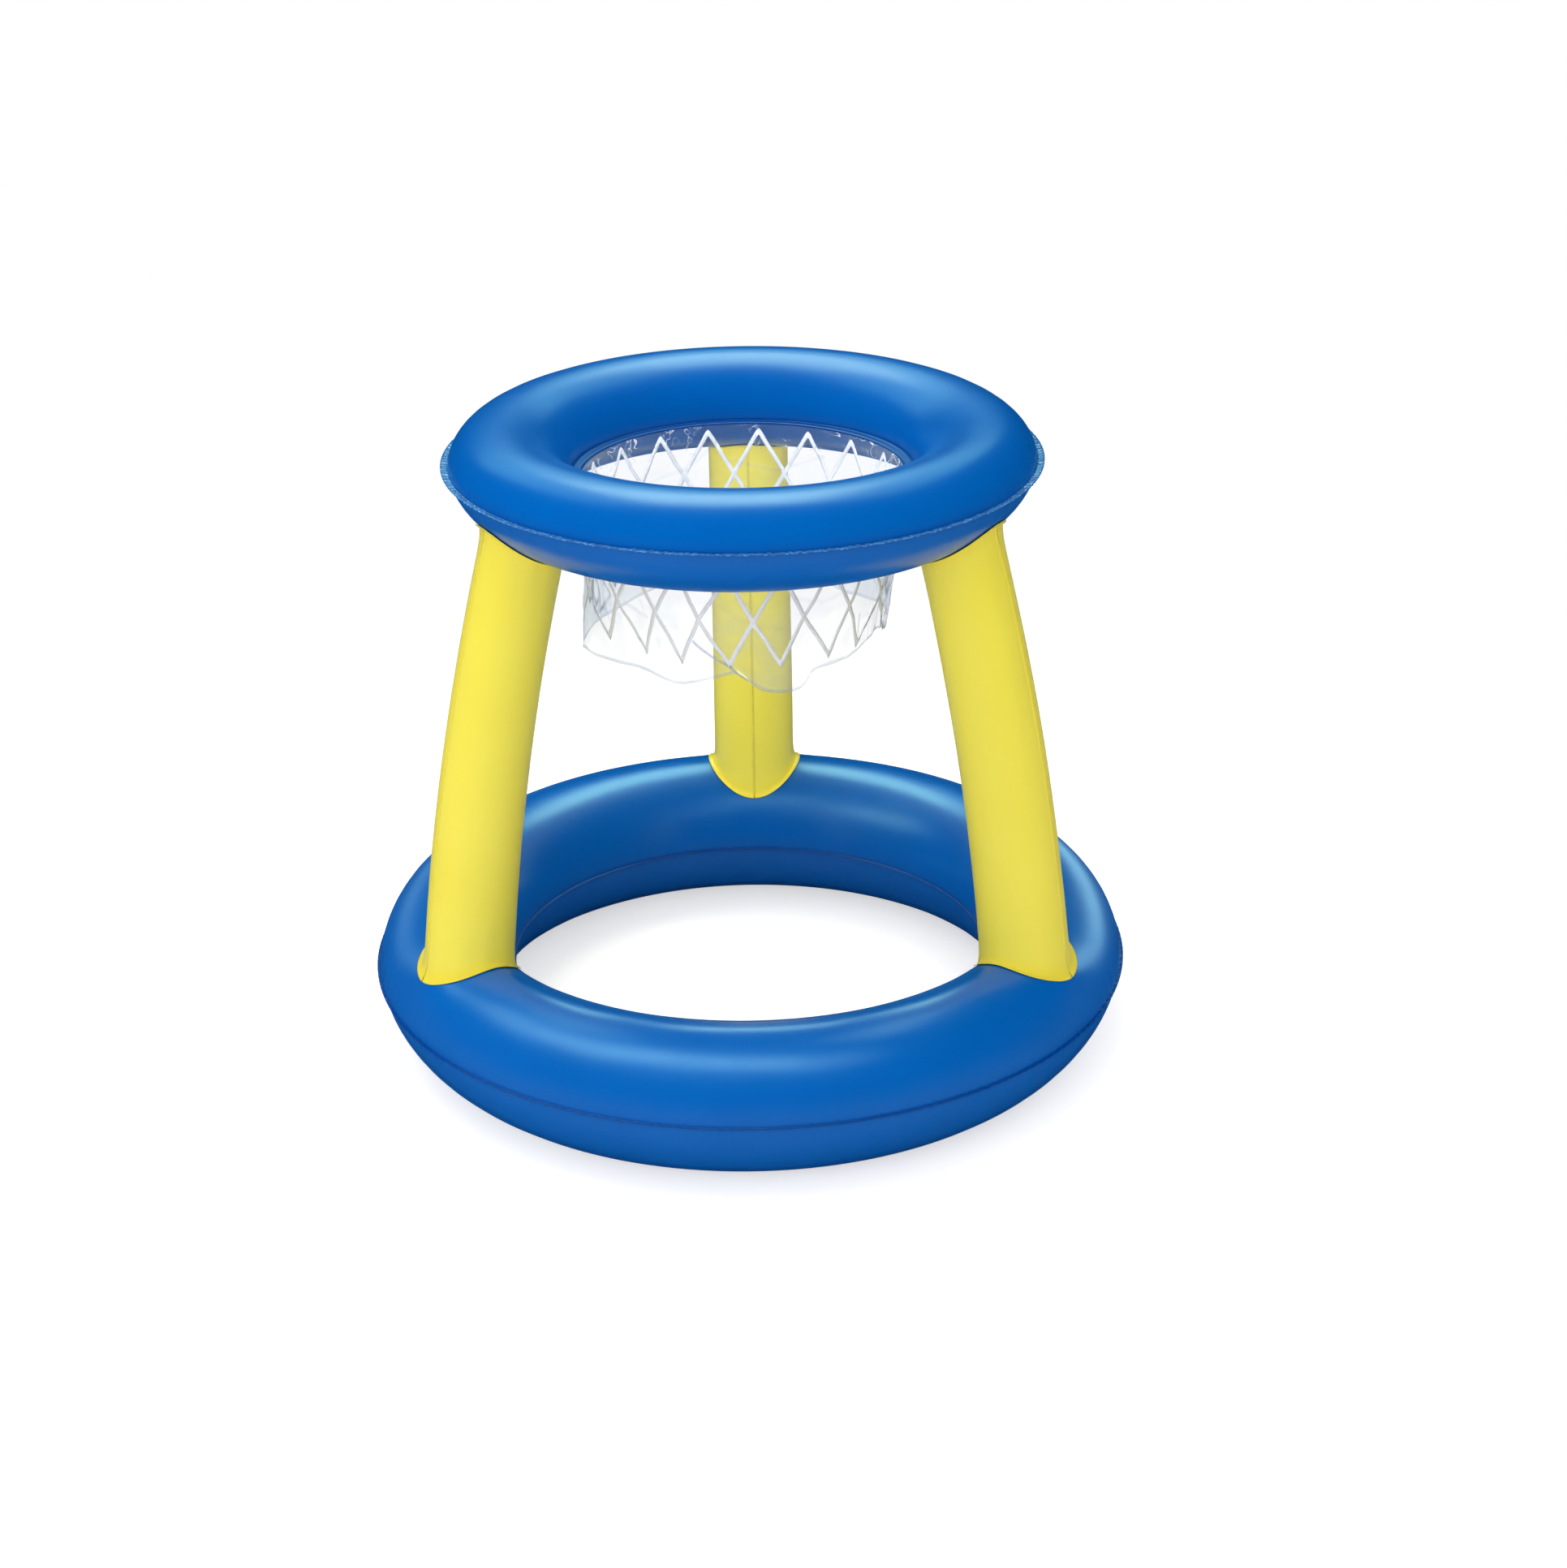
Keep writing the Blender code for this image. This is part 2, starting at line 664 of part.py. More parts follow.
def make_flap(prefix, collection, guides, frame):
    """Check flap: a disc on a short tongue that covers the stem's inner end."""
    hinge = flap_place()
    pivot = make_empty(prefix + "_flap_hinge_axis", collection, Matrix.Translation(hinge), frame)
    body = make_empty(prefix + "_flap_place", collection, Matrix.Translation(-hinge), pivot)
    half = FLAP_WALL / 2
    over = hinge.z + half
    under = hinge.z - half
    disc = FLAP_DIAMETER / 2
    outline = [(0, over), (disc, over), (disc, under), (0, under)]
    name = prefix + "_valve_check_flap"
    flap = turn_outline(name, outline, VALVE_STEPS, collection, VALVE_VINYL, body, closed=False)
    thin = half / 2
    low = (hinge.x, -FLAP_TONGUE_WIDTH / 2, hinge.z - thin)
    high = (-disc / 2, FLAP_TONGUE_WIDTH / 2, hinge.z + thin)
    combine(flap, block(prefix + "_tongue_guide", low, high, guides, body), "UNION")
    across = Matrix.Translation(hinge) @ Matrix.Rotation(math.pi / 2, 4, "X")
    roll_length = FLAP_TONGUE_WIDTH + STRAP_INSET
    roll = rod(prefix + "_tongue_roll_guide", FLAP_WALL, roll_length, across, ROLL_STEPS, guides, body)
    combine(flap, roll, "UNION")


def make_valve(prefix, ring, turn, skin, collection, guides):
    frame = make_empty(prefix + "_valve_axis", collection, valve_matrix(ring, turn))
    make_flange(prefix + "_valve_flange", ring, turn, collection, frame)
    make_stem(prefix, collection, guides, frame)
    make_plug(prefix, collection, guides, frame)
    make_flap(prefix, collection, guides, frame)
    hole_name = prefix + "_valve_hole_cutter"
    hole_length = VALVE_SKIN_HOLE_DIAMETER
    along = Matrix.Identity(4)
    hole = rod(hole_name, VALVE_SKIN_HOLE_DIAMETER, hole_length, along, VALVE_STEPS, guides, frame)
    combine(skin, hole, "DIFFERENCE")


def main():
    clear_scene()
    collection = make_collection(COLLECTION_NAME)
    guides = make_collection(COLLECTION_NAME + "_guides")
    base_upper = ring_skin("base_ring_upper_skin", BASE, 1, collection)
    ring_skin("base_ring_lower_skin", BASE, -1, collection)
    ring_skin("hoop_ring_upper_skin", HOOP, 1, collection)
    hoop_lower = ring_skin("hoop_ring_lower_skin", HOOP, -1, collection)
    for cutter in vent_cutters(guides):
        combine(base_upper, cutter, "DIFFERENCE")
    make_legs(collection)
    make_net_film(collection)
    make_net_print(collection)
    make_valve("base", BASE, BASE_VALVE_TURN, base_upper, collection, guides)
    make_valve("hoop", HOOP, HOOP_VALVE_TURN, hoop_lower, collection, guides)


main()
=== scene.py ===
"""Looks of an inflatable floating basketball hoop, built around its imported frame.

The order is: camera, blown rings, the valves' places, legs, net film, net print, air valves,
then the floor and the studio light. Metres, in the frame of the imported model.
"""
import json
import math
from dataclasses import dataclass

import bmesh
import bpy
import numpy as np
from mathutils import Matrix, Vector, noise


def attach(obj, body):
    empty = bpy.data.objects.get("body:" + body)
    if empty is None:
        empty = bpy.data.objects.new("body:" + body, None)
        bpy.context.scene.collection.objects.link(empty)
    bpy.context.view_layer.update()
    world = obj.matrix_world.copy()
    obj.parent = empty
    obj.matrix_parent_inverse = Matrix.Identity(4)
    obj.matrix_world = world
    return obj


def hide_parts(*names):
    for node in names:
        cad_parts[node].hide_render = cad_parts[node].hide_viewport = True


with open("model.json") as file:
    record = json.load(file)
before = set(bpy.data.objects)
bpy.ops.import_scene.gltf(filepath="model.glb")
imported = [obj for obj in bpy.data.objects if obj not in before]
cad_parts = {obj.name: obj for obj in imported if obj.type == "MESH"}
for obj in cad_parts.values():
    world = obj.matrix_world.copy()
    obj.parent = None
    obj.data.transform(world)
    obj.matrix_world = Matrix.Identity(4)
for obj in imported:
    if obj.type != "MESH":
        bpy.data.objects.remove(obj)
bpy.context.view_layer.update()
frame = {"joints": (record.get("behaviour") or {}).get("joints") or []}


# Camera. It stands where the photograph was taken from: a little over two metres in front,
# above the hoop and looking down on it.

CAMERA_DISTANCE = 2.2154
CAMERA_HEIGHT = 1.1893
CAMERA_PITCH = math.radians(23.95)
CAMERA_YAW = math.radians(0.739)
CAMERA_ROLL = math.radians(-0.642)
CAMERA_ROUND = math.radians(1.398)
CAMERA_LENS = 69.24

camera = bpy.data.objects.new("camera", bpy.data.cameras.new("camera"))
bpy.context.scene.collection.objects.link(camera)
camera.data.sensor_fit = "HORIZONTAL"
camera.data.lens = CAMERA_LENS
camera.matrix_world = (
    Matrix.Rotation(CAMERA_ROUND, 4, "Z")
    @ Matrix.Translation((0, -CAMERA_DISTANCE, CAMERA_HEIGHT))
    @ Matrix.Rotation(-CAMERA_YAW, 4, "Z")
    @ Matrix.Rotation(math.pi / 2 - CAMERA_PITCH, 4, "X")
    @ Matrix.Rotation(CAMERA_ROLL, 4, "Z")
)
bpy.context.scene.camera = camera


# Blown rings. Each is two flat rings of 0.3 mm calendered PVC sheet, welded along both edges
# and blown up. A flat sheet has too much length at the outer weld, which draws into puckers.

VINYL_WALL = 0.0003
WELD_GAP = 0.0003
WELD_CLOSED_GAP = 0.00004
RING_STEPS = 960
SECTION_STEPS = 34
SECTION_EASE_SHARE = 0.11
WELD_STEPS = 3
WELD_SHADE_REACH = 0.0009
PUCKER_DRIFT = 14
FADE_PER_REACH = 0.37
PVC_IOR = 1.53
MERGE_DISTANCE = 0.00001
CUT_DEPTH = 0.012
CUT_CORNERS = 64
FOOT_LIFT = 0.008
FOOT_LIFT_RADIUS = 0.287
FOOT_LIFT_DEPTH = 0.017
FOOT_LIFT_WIDTH = 0.032
FOOT_LIFT_FADE = 0.012


@dataclass
class Ring:
    """A blown ring's sizes over its weld edges, and the rule that gives its section."""
    outer_radius: float
    hole_radius: float
    tube_height: float
    centre_height: float
    outer_weld: float
    inner_weld: float
    power: float
    lean: float
    rest_band: float
    pucker_spacing: float
    pucker_height: float
    pucker_reach: float
    gather_spacing: float
    gather_depth: float
    gather_reach: float
    # Share of painted glints on the outer weld's flange.
    weld_glint_share: float

    @property
    def centre_radius(self):
        return (self.hole_radius + self.inner_weld + self.outer_radius - self.outer_weld) / 2

    @property
    def half_width(self):
        return (self.outer_radius - self.outer_weld - self.hole_radius - self.inner_weld) / 2

    def height_at(self, radius, side):
        """Height of the upper (side 1) or lower (side -1) sheet's outer face at a radius."""
        across = radius - self.centre_radius
        share = np.minimum(1, np.abs(across) / self.half_width)
        rise = self.tube_height / 2 * (1 - share ** self.power) ** (1 / self.power)
        return self.centre_height + self.lean * across + side * rise

    def point_at(self, bearing, turn):
        """Point and outward normal of the outer face. The turn starts at the outer weld."""
        exponent = 2 / self.power
        half_height = self.tube_height / 2
        sine = math.copysign(abs(math.sin(turn)), turn)
        across = self.half_width * math.cos(turn) ** exponent
        rise = half_height * math.copysign(abs(sine) ** exponent, sine)
        outward = math.cos(turn) ** (2 - exponent) / self.half_width
        upward = math.copysign(abs(sine) ** (2 - exponent), sine) / half_height
        radial = Vector((math.cos(bearing), math.sin(bearing), 0))
        point = radial * (self.centre_radius + across)
        point.z = self.centre_height + self.lean * across + rise
        normal = radial * (outward - self.lean * upward) + Vector((0, 0, upward))
        return point, normal.normalized()


BASE = Ring(
    outer_radius=0.305,
    hole_radius=0.1925,
    tube_height=0.122,
    centre_height=0.0605,
    outer_weld=0.0025,
    inner_weld=0.0025,
    power=1.75,
    lean=0.065,
    rest_band=0.020,
    pucker_spacing=0.0085,
    pucker_height=0.00035,
    pucker_reach=0.006,
    gather_spacing=0.022,
    gather_depth=0.0005,
    gather_reach=0.014,
    weld_glint_share=0,
)
HOOP = Ring(
    outer_radius=0.231,
    hole_radius=0.1246,
    tube_height=0.077,
    centre_height=0.4755,
    outer_weld=0.0055,
    inner_weld=0.008,
    power=1.82,
    lean=0.13,
    rest_band=0,
    pucker_spacing=0.0062,
    pucker_height=0.0004,
    pucker_reach=0.004,
    gather_spacing=0.017,
    gather_depth=0.0005,
    gather_reach=0.011,
    weld_glint_share=0.8,
)


def linear(code):
    """Linear colour of an sRGB hex value."""
    parts = [int(code[index:index + 2], 16) / 255 for index in (1, 3, 5)]
    return (*[c / 12.92 if c <= 0.04045 else ((c + 0.055) / 1.055) ** 2.4 for c in parts], 1)


def add(tree, kind, inputs=(), **settings):
    """Adds a node with its settings, and links or fills its inputs by name or by place."""
    node = tree.nodes.new(kind)
    for name, value in settings.items():
        setattr(node, name, value)
    for place, value in inputs.items() if isinstance(inputs, dict) else enumerate(inputs):
        if isinstance(value, bpy.types.Node):
            value = value.outputs[0]
        if isinstance(value, bpy.types.NodeSocket):
            tree.links.new(value, node.inputs[place])
        elif value is not None:
            node.inputs[place].default_value = value
    return node


def start_material(name, values):
    """New material with its tree, Principled shader and Object coordinates, and uniform values."""
    material = bpy.data.materials.new(name)
    material.use_nodes = True
    tree = material.node_tree
    shader = tree.nodes["Principled BSDF"]
    for label, value in values.items():
        shader.inputs[label].default_value = value
    return material, tree, shader, add(tree, "ShaderNodeTexCoord").outputs["Object"]


def paint(tree, shader, ground, *coats):
    """Lays coats of colour, each with its share, over a ground colour on a shader."""
    for share, colour in coats:
        ground, colour = (linear(c) if isinstance(c, str) else c for c in (ground, colour))
        mixed = {0: share, 6: ground, 7: colour}
        ground = add(tree, "ShaderNodeMix", mixed, data_type="RGBA").outputs[2]
    tree.links.new(ground, shader.inputs["Base Color"])
    return ground


def roughen(tree, shader, place, *reliefs):
    """Gives a shader reliefs over each other: each has a size, detail, depth and strength."""
    relief = None
    for size, detail, depth, strength in reliefs:
        rise = {"Vector": place, "Scale": 1 / size, "Detail": detail}
        rise = add(tree, "ShaderNodeTexNoise", rise)
        shape = {"Height": rise, "Distance": depth, "Strength": strength, "Normal": relief}
        relief = add(tree, "ShaderNodeBump", shape)
    tree.links.new(relief.outputs[0], shader.inputs["Normal"])


def sheet_vinyl(name, deep, light, roughness):
    """Calendered PVC sheet: even colour with faint clouds, and a soft gloss over a fine grain."""
    material, tree, shader, place = start_material(name, {"IOR": PVC_IOR})
    cloud = add(tree, "ShaderNodeTexNoise", {"Vector": place, "Scale": 14, "Detail": 3})
    tint = paint(tree, shader, deep, (cloud, light))
    rub = add(tree, "ShaderNodeTexNoise", {"Vector": place, "Scale": 55, "Detail": 4})
    spread = {"Value": rub, "To Min": roughness - 0.03, "To Max": roughness + 0.05}
    gloss = add(tree, "ShaderNodeMapRange", spread)
    tree.links.new(gloss.outputs[0], shader.inputs["Roughness"])
    roughen(tree, shader, place, (0.016, 1, 0.0002, 0.14), (0.0012, 2, 0.00002, 0.16))
    return material, tree, shader, tint


def blue_vinyl():
    """Blue PVC sheet: darker along the welds, partly from its two fused plies and partly as painted
    shade in the weld's notch, with pale dots on the hoop's flange that are painted glints.
    """
    material, tree, shader, tint = sheet_vinyl("calendered_blue_PVC", "#005DB3", "#0064BD", 0.29)
    pressed = add(tree, "ShaderNodeAttribute", attribute_name="pressed").outputs["Fac"]
    # Painted glints: pale dots where the hoop's weld flange would catch the light.
    flange_glints = add(tree, "ShaderNodeTexCoord").outputs["Object"]
    flange_glints = add(tree, "ShaderNodeTexVoronoi", {"Vector": flange_glints, "Scale": 1 / 0.0032})
    flange_glints = {"Value": flange_glints, "From Min": 0.28, "From Max": 0.5, "To Min": 1, "To Max": 0.25}
    flange_glints = add(tree, "ShaderNodeMapRange", flange_glints)
    flange_glint_share = add(tree, "ShaderNodeAttribute", attribute_name="flange").outputs["Fac"]
    flange_glints = add(tree, "ShaderNodeMath", (flange_glints, flange_glint_share), operation="MULTIPLY")
    # Weld colour: the fused plies plus painted shade. Pale flange dots: painted glints.
    paint(tree, shader, tint, (pressed, "#004597"), (flange_glints, "#5FA9E6"))
    return material


BLUE_VINYL = blue_vinyl()


def start_tree(name, kinds):
    """New Geometry Nodes tree with geometry in and out, and inputs of the given kinds."""
    tree = bpy.data.node_groups.new(name, "GeometryNodeTree")
    for label, kind in {"Geometry": "Geometry", **kinds}.items():
        tree.interface.new_socket(label, in_out="INPUT", socket_type="NodeSocket" + kind)
    tree.interface.new_socket("Geometry", in_out="OUTPUT", socket_type="NodeSocketGeometry")
    return tree, add(tree, "NodeGroupInput").outputs


def finish_tree(tree, made, material, merge=None):
    """Ends a tree with plain geometry of one material. Points closer than merge are joined."""
    made = add(tree, "GeometryNodeRealizeInstances", (made,))
    if merge:
        made = add(tree, "GeometryNodeMergeByDistance", {"Geometry": made, "Distance": merge})
    made = add(tree, "GeometryNodeSetMaterial", {"Geometry": made, "Material": material})
    add(tree, "NodeGroupOutput", (made,))
    return tree


def pucker_tree():
    """Fine puckers and wider gathers that run into the tube from a ring's outer weld."""
    sizes = ("Count", "Height", "Reach", "Gather scale", "Gather depth", "Gather reach")
    tree, given = start_tree("weld puckers", dict.fromkeys(sizes, "Float"))
    axes = add(tree, "ShaderNodeSeparateXYZ", (add(tree, "GeometryNodeInputPosition"),)).outputs
    flat = add(tree, "ShaderNodeCombineXYZ", (axes["X"], axes["Y"]))
    way = add(tree, "ShaderNodeVectorMath", (flat,), operation="NORMALIZE")
    bearing = add(tree, "ShaderNodeMath", (axes["Y"], axes["X"]), operation="ARCTAN2")
    distance = add(tree, "GeometryNodeInputNamedAttribute", ("weld_distance",), data_type="FLOAT")
    fades = []
    for reach in ("Reach", "Gather reach"):
        share = add(tree, "ShaderNodeMath", (distance, given[reach]), operation="DIVIDE")
        fades.append(add(tree, "ShaderNodeMath", (FADE_PER_REACH, share), operation="POWER"))

    drift = add(tree, "ShaderNodeTexNoise", {"Vector": way, "Scale": 9, "Detail": 1})
    turns = add(tree, "ShaderNodeMath", (bearing, given["Count"]), operation="MULTIPLY")
    phase = add(tree, "ShaderNodeMath", (drift, PUCKER_DRIFT, turns), operation="MULTIPLY_ADD")
    lift = add(tree, "ShaderNodeMath", (phase,), operation="SINE")
    patch = add(tree, "ShaderNodeTexNoise", {"Vector": way, "Scale": 23, "Detail": 2})
    spread = {"Value": patch, "From Min": 0.35, "From Max": 0.7, "To Min": 0.25, "To Max": 1.4}
    for factor in (add(tree, "ShaderNodeMapRange", spread), fades[0], given["Height"]):
        lift = add(tree, "ShaderNodeMath", (lift, factor), operation="MULTIPLY")

    fold = {"Vector": way, "Scale": given["Gather scale"], "Detail": 2}
    fold = add(tree, "ShaderNodeTexNoise", fold)
    dent = {"Value": fold, "From Min": 0.42, "From Max": 0.72, "To Min": 0, "To Max": -1}
    dent = add(tree, "ShaderNodeMapRange", dent, interpolation_type="SMOOTHSTEP")
    off_weld = {"Value": distance, "From Min": 0, "From Max": 0.003}
    for factor in (fades[1], add(tree, "ShaderNodeMapRange", off_weld), given["Gather depth"]):
        dent = add(tree, "ShaderNodeMath", (dent, factor), operation="MULTIPLY")

    inward = {0: add(tree, "GeometryNodeInputNormal"), "Scale": dent}
    inward = add(tree, "ShaderNodeVectorMath", inward, operation="SCALE")
    upward = add(tree, "ShaderNodeCombineXYZ", {"Z": lift})
    shift = add(tree, "ShaderNodeVectorMath", (inward, upward), operation="ADD")
    moved = {"Geometry": given["Geometry"], "Offset": shift}
    return finish_tree(tree, add(tree, "GeometryNodeSetPosition", moved), BLUE_VINYL)


def run_tree(item, tree, values):
    """Puts a Geometry Nodes modifier on a piece, with its inputs set by their names."""
    modifier = item.modifiers.new(tree.name, "NODES")
    modifier.node_group = tree
    for socket in tree.interface.items_tree:
        if socket.in_out == "INPUT" and socket.name in values:
            modifier[socket.identifier] = values[socket.name]


def link_piece(name, mesh):
    item = bpy.data.objects.new(name, mesh)
    bpy.context.scene.collection.objects.link(item)
    return item


def settle(item):
    """Turns what the piece's modifiers make into its plain mesh."""
    bpy.context.view_layer.update()
    depsgraph = bpy.context.evaluated_depsgraph_get()
    mesh = bpy.data.meshes.new_from_object(item.evaluated_get(depsgraph))
    item.modifiers.clear()
    item.data = mesh


def mark(mesh, **marks):
    """Stores a number for each point of a mesh under each name."""
    for name, values in marks.items():
        mesh.attributes.new(name, "FLOAT", "POINT").data.foreach_set("value", values.ravel())


def points_of(mesh):
    points = np.empty(len(mesh.vertices) * 3)
    mesh.vertices.foreach_get("co", points)
    return points.reshape(-1, 3)


def move_points(mesh, points):
    mesh.vertices.foreach_set("co", points.ravel())
    mesh.update()


def dress(item, material, body, slot, *nodes):
    """Gives a settled piece its finish and its body, and hides the CAD nodes that it stands for."""
    item.data.materials.clear()
    item.data.materials.append(material)
    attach(item, body)
    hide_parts(*nodes)


def thicken(item, wall, offset=-1):
    modifier = item.modifiers.new("wall", "SOLIDIFY")
    modifier.thickness = wall
    modifier.offset = offset
    modifier.use_even_offset = True


def turned_sheet(item, steps):
    """Turns a profile about the Z axis into one closed ring of sheet."""
    modifier = item.modifiers.new("turn", "SCREW")
    modifier.steps = steps
    modifier.render_steps = steps
    modifier.use_merge_vertices = True
    modifier.merge_threshold = MERGE_DISTANCE
    modifier.use_smooth_shade = True


def sheet_section(ring, side):
    """Radius, height, distance from the outer weld, weld darkening (fused plies and painted shade)
    and painted flange glints across one sheet.
    """
    exponent = 2 / ring.power
    least = WELD_CLOSED_GAP / 2 + VINYL_WALL
    steps = np.arange(SECTION_STEPS + 1) / SECTION_STEPS
    turns = math.pi * (1 - steps + SECTION_EASE_SHARE * np.sin(math.tau * steps))
    across = np.sign(np.cos(turns)) * np.abs(np.cos(turns)) ** exponent * ring.half_width
    rise = np.maximum(np.sin(turns).clip(0) ** exponent * ring.tube_height / 2, least)
    ends = ring.hole_radius - ring.centre_radius, ring.outer_radius - ring.centre_radius
    inner = np.linspace(ends[0], -ring.half_width, WELD_STEPS + 1)[:-1]
    outer = np.linspace(ring.half_width, ends[1], WELD_STEPS + 1)[1:]
    across = np.concatenate([inner, across, outer])
    rise = np.concatenate([np.full(WELD_STEPS, least), rise, np.full(WELD_STEPS, least)])
    height = ring.centre_height + ring.lean * across + side * rise
    if side < 0 and ring.rest_band:
        height[np.abs(across) < ring.rest_band / 2] = 0
    gaps = np.hypot(np.diff(across), np.diff(height))
    travelled = np.concatenate([[0], np.cumsum(gaps)])
    distance = np.maximum(travelled[-1 - WELD_STEPS] - travelled, 0)
    inner_distance = np.maximum(travelled - travelled[WELD_STEPS], 0)
    # Darker near both welds: partly the fused plies, partly painted shade in the weld's notch.
    pressed = np.exp(-(np.minimum(distance, inner_distance) / WELD_SHADE_REACH) ** 2)
    # The hoop's outer flange carries a share of painted glints.
    flange = np.where(distance > 0, 0, ring.weld_glint_share)
    return ring.centre_radius + across, height, distance, pressed, flange


def ring_sheet(name, node, ring, side, holes):
    """One sheet of a ring, turned from its section, puckered and given its wall and holes."""
    radius, height, distance, pressed, flange = (part[::side] for part in sheet_section(ring, side))
    mesh = bpy.data.meshes.new(name)
    points = [(r, 0, z) for r, z in zip(radius, height)]
    mesh.from_pydata(points, [(index, index + 1) for index in range(len(points) - 1)], [])
    mark(mesh, weld_distance=distance, pressed=pressed, flange=flange)
    item = link_piece(name, mesh)
    turned_sheet(item, RING_STEPS)
    values = {
        "Count": float(round(math.tau * ring.outer_radius / ring.pucker_spacing)),
        "Height": ring.pucker_height,
        "Reach": ring.pucker_reach,
        "Gather scale": ring.outer_radius / ring.gather_spacing,
        "Gather depth": ring.gather_depth,
        "Gather reach": ring.gather_reach,
    }
    run_tree(item, PUCKERS, values)
    thicken(item, VINYL_WALL)
    for hole in holes:
        cut = item.modifiers.new("hole", "BOOLEAN")
        cut.operation = "DIFFERENCE"
        cut.object = hole
    settle(item)
    for hole in holes:
        bpy.data.objects.remove(hole)
    if ring is BASE and side > 0:
        draw_up(item.data)
    dress(item, BLUE_VINYL, "float_frame", "blue_vinyl", node)


def foot_lift(radius, aside):
    """How far a foot draws up the base ring's sheet, at a radius and a distance along the ring."""
    off_weld = np.clip((BASE.outer_radius - BASE.outer_weld - radius) / FOOT_LIFT_FADE, 0, 1)
    off_weld = off_weld ** 2 * (3 - 2 * off_weld)
    out = ((radius - FOOT_LIFT_RADIUS) / FOOT_LIFT_DEPTH) ** 2
    return FOOT_LIFT * np.exp(-out - (aside / FOOT_LIFT_WIDTH) ** 2) * off_weld


def draw_up(mesh):
    """Draws the base ring's upper sheet up beside the outer edge of each leg's foot."""
    points = points_of(mesh)
    radius = np.hypot(points[:, 0], points[:, 1])
    for bearing in LEG_BEARINGS.values():
        away = np.arctan2(points[:, 1], points[:, 0]) - bearing
        away = (away + math.pi) % math.tau - math.pi
        points[:, 2] += foot_lift(radius, away * radius)
    move_points(mesh, points)


def hole_cutter(diameter, matrix):
    """Round cutter that goes through a sheet at a matrix, along its Z axis."""
    count = CUT_CORNERS
    turns = [math.tau * step / count for step in range(count)]
    circle = [(math.cos(turn) * diameter / 2, math.sin(turn) * diameter / 2) for turn in turns]
    ends = [(x, y, z) for z in (-CUT_DEPTH, CUT_DEPTH) for x, y in circle]
    pairs = [(step, (step + 1) % count) for step in range(count)]
    sides = [(near, far, far + count, near + count) for near, far in pairs]
    mesh = bpy.data.meshes.new("cutter")
    mesh.from_pydata(ends, [], sides + [tuple(range(count))[::-1], tuple(range(count, 2 * count))])
    mesh.transform(matrix)
    cutter = link_piece("cutter", mesh)
    cutter.hide_render = True
    return cutter


PUCKERS = pucker_tree()


# Valve places, and the ring sheets cut for them and for the legs' vents. Each air chamber is
# filled through one push-in valve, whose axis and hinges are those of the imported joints.

VALVE_STEM_DIAMETER = 0.0138
VALVE_BORE_DIAMETER = 0.008
VALVE_STEM_LENGTH = 0.0142
VALVE_COLLAR_DIAMETER = 0.0172
VALVE_COLLAR_HEIGHT = 0.0012
VALVE_COLLAR_SEAT = 0.0012
VALVE_SKIN_HOLE = 0.018
PLUG_HINGE_PLACE = Vector((-0.0096, 0, 0.0034))

joints = {joint["name"]: joint for joint in frame["joints"]}


def valve_matrix(prefix):
    """Valve frame: Z out of the tube, Y along the flap's hinge, origin on the sheet."""
    out = Vector(joints[prefix + "_stem_slide"]["axis"])
    plug = joints[prefix + "_plug_hinge"]
    side = -Vector(plug["axis"])
    along = side.cross(out)
    turned = Matrix((along, side, out)).transposed()
    origin = Vector(plug["pos_m"]) - turned @ PLUG_HINGE_PLACE
    return Matrix.Translation(origin) @ turned.to_4x4()


LEG_DEGREES = {"back_leg": 90, "left_leg": 210, "right_leg": 330}
LEG_BEARINGS = {name: math.radians(degrees) for name, degrees in LEG_DEGREES.items()}
LEG_VENT_DIAMETER = 0.024

base_holes = [hole_cutter(VALVE_SKIN_HOLE, valve_matrix("base"))]
crest = Matrix.Translation((BASE.centre_radius, 0, BASE.height_at(BASE.centre_radius, 1)))
for leg_bearing in LEG_BEARINGS.values():
    vent = Matrix.Rotation(leg_bearing, 4, "Z") @ crest
    base_holes.append(hole_cutter(LEG_VENT_DIAMETER, vent))
hoop_holes = [hole_cutter(VALVE_SKIN_HOLE, valve_matrix("hoop"))]

ring_sheet("base_ring_top_sheet", "base_ring_upper_skin", BASE, 1, base_holes)
ring_sheet("base_ring_under_sheet", "base_ring_lower_skin", BASE, -1, [])
ring_sheet("hoop_ring_top_sheet", "hoop_ring_upper_skin", HOOP, 1, [])
ring_sheet("hoop_ring_under_sheet", "hoop_ring_lower_skin", HOOP, -1, hoop_holes)


# Legs. Each is two panels of yellow PVC sheet welded along an inner and an outer seam. Its open
# ends splay into brims, which are welded onto the rings.

LEG_FOOT_DIAMETER = 0.070
LEG_HEAD_DIAMETER = 0.0655
LEG_HEAD_OUTSET = 0.0105
LEG_BOW = 0.0068
LEG_SEAM_WIDTH = 0.0011
LEG_BRIM_WIDTH = 0.0055
LEG_BRIM_LIP = 0.0005
LEG_FLARE = 0.0022
LEG_FLARE_REACH = 0.0045
LEG_LENGTH = 0.335
LEG_SEAT_GAP = 0.0006
LEG_ROWS = 96
LEG_COLUMNS = 56
LEG_BRIM_ROWS = 4
LEG_SEAT_PASSES = 8
LEG_SEAT_PROBE = 0.0001
LEG_ROW_EASE = 0.12
LEG_SEAM_START = 0.02
LEG_SEAM_FADE = 0.03
LEG_BRIM_SHADE_REACH = 0.006
LEG_SEAM_SHADE = 0.4
LEG_CREASE_DEPTH = 0.0011
LEG_CREASE_REACH = 0.05
LEG_CREASE_START = 0.006
LEG_WAVE_DEPTH = 0.0003
LEG_WAVE_START = 0.01

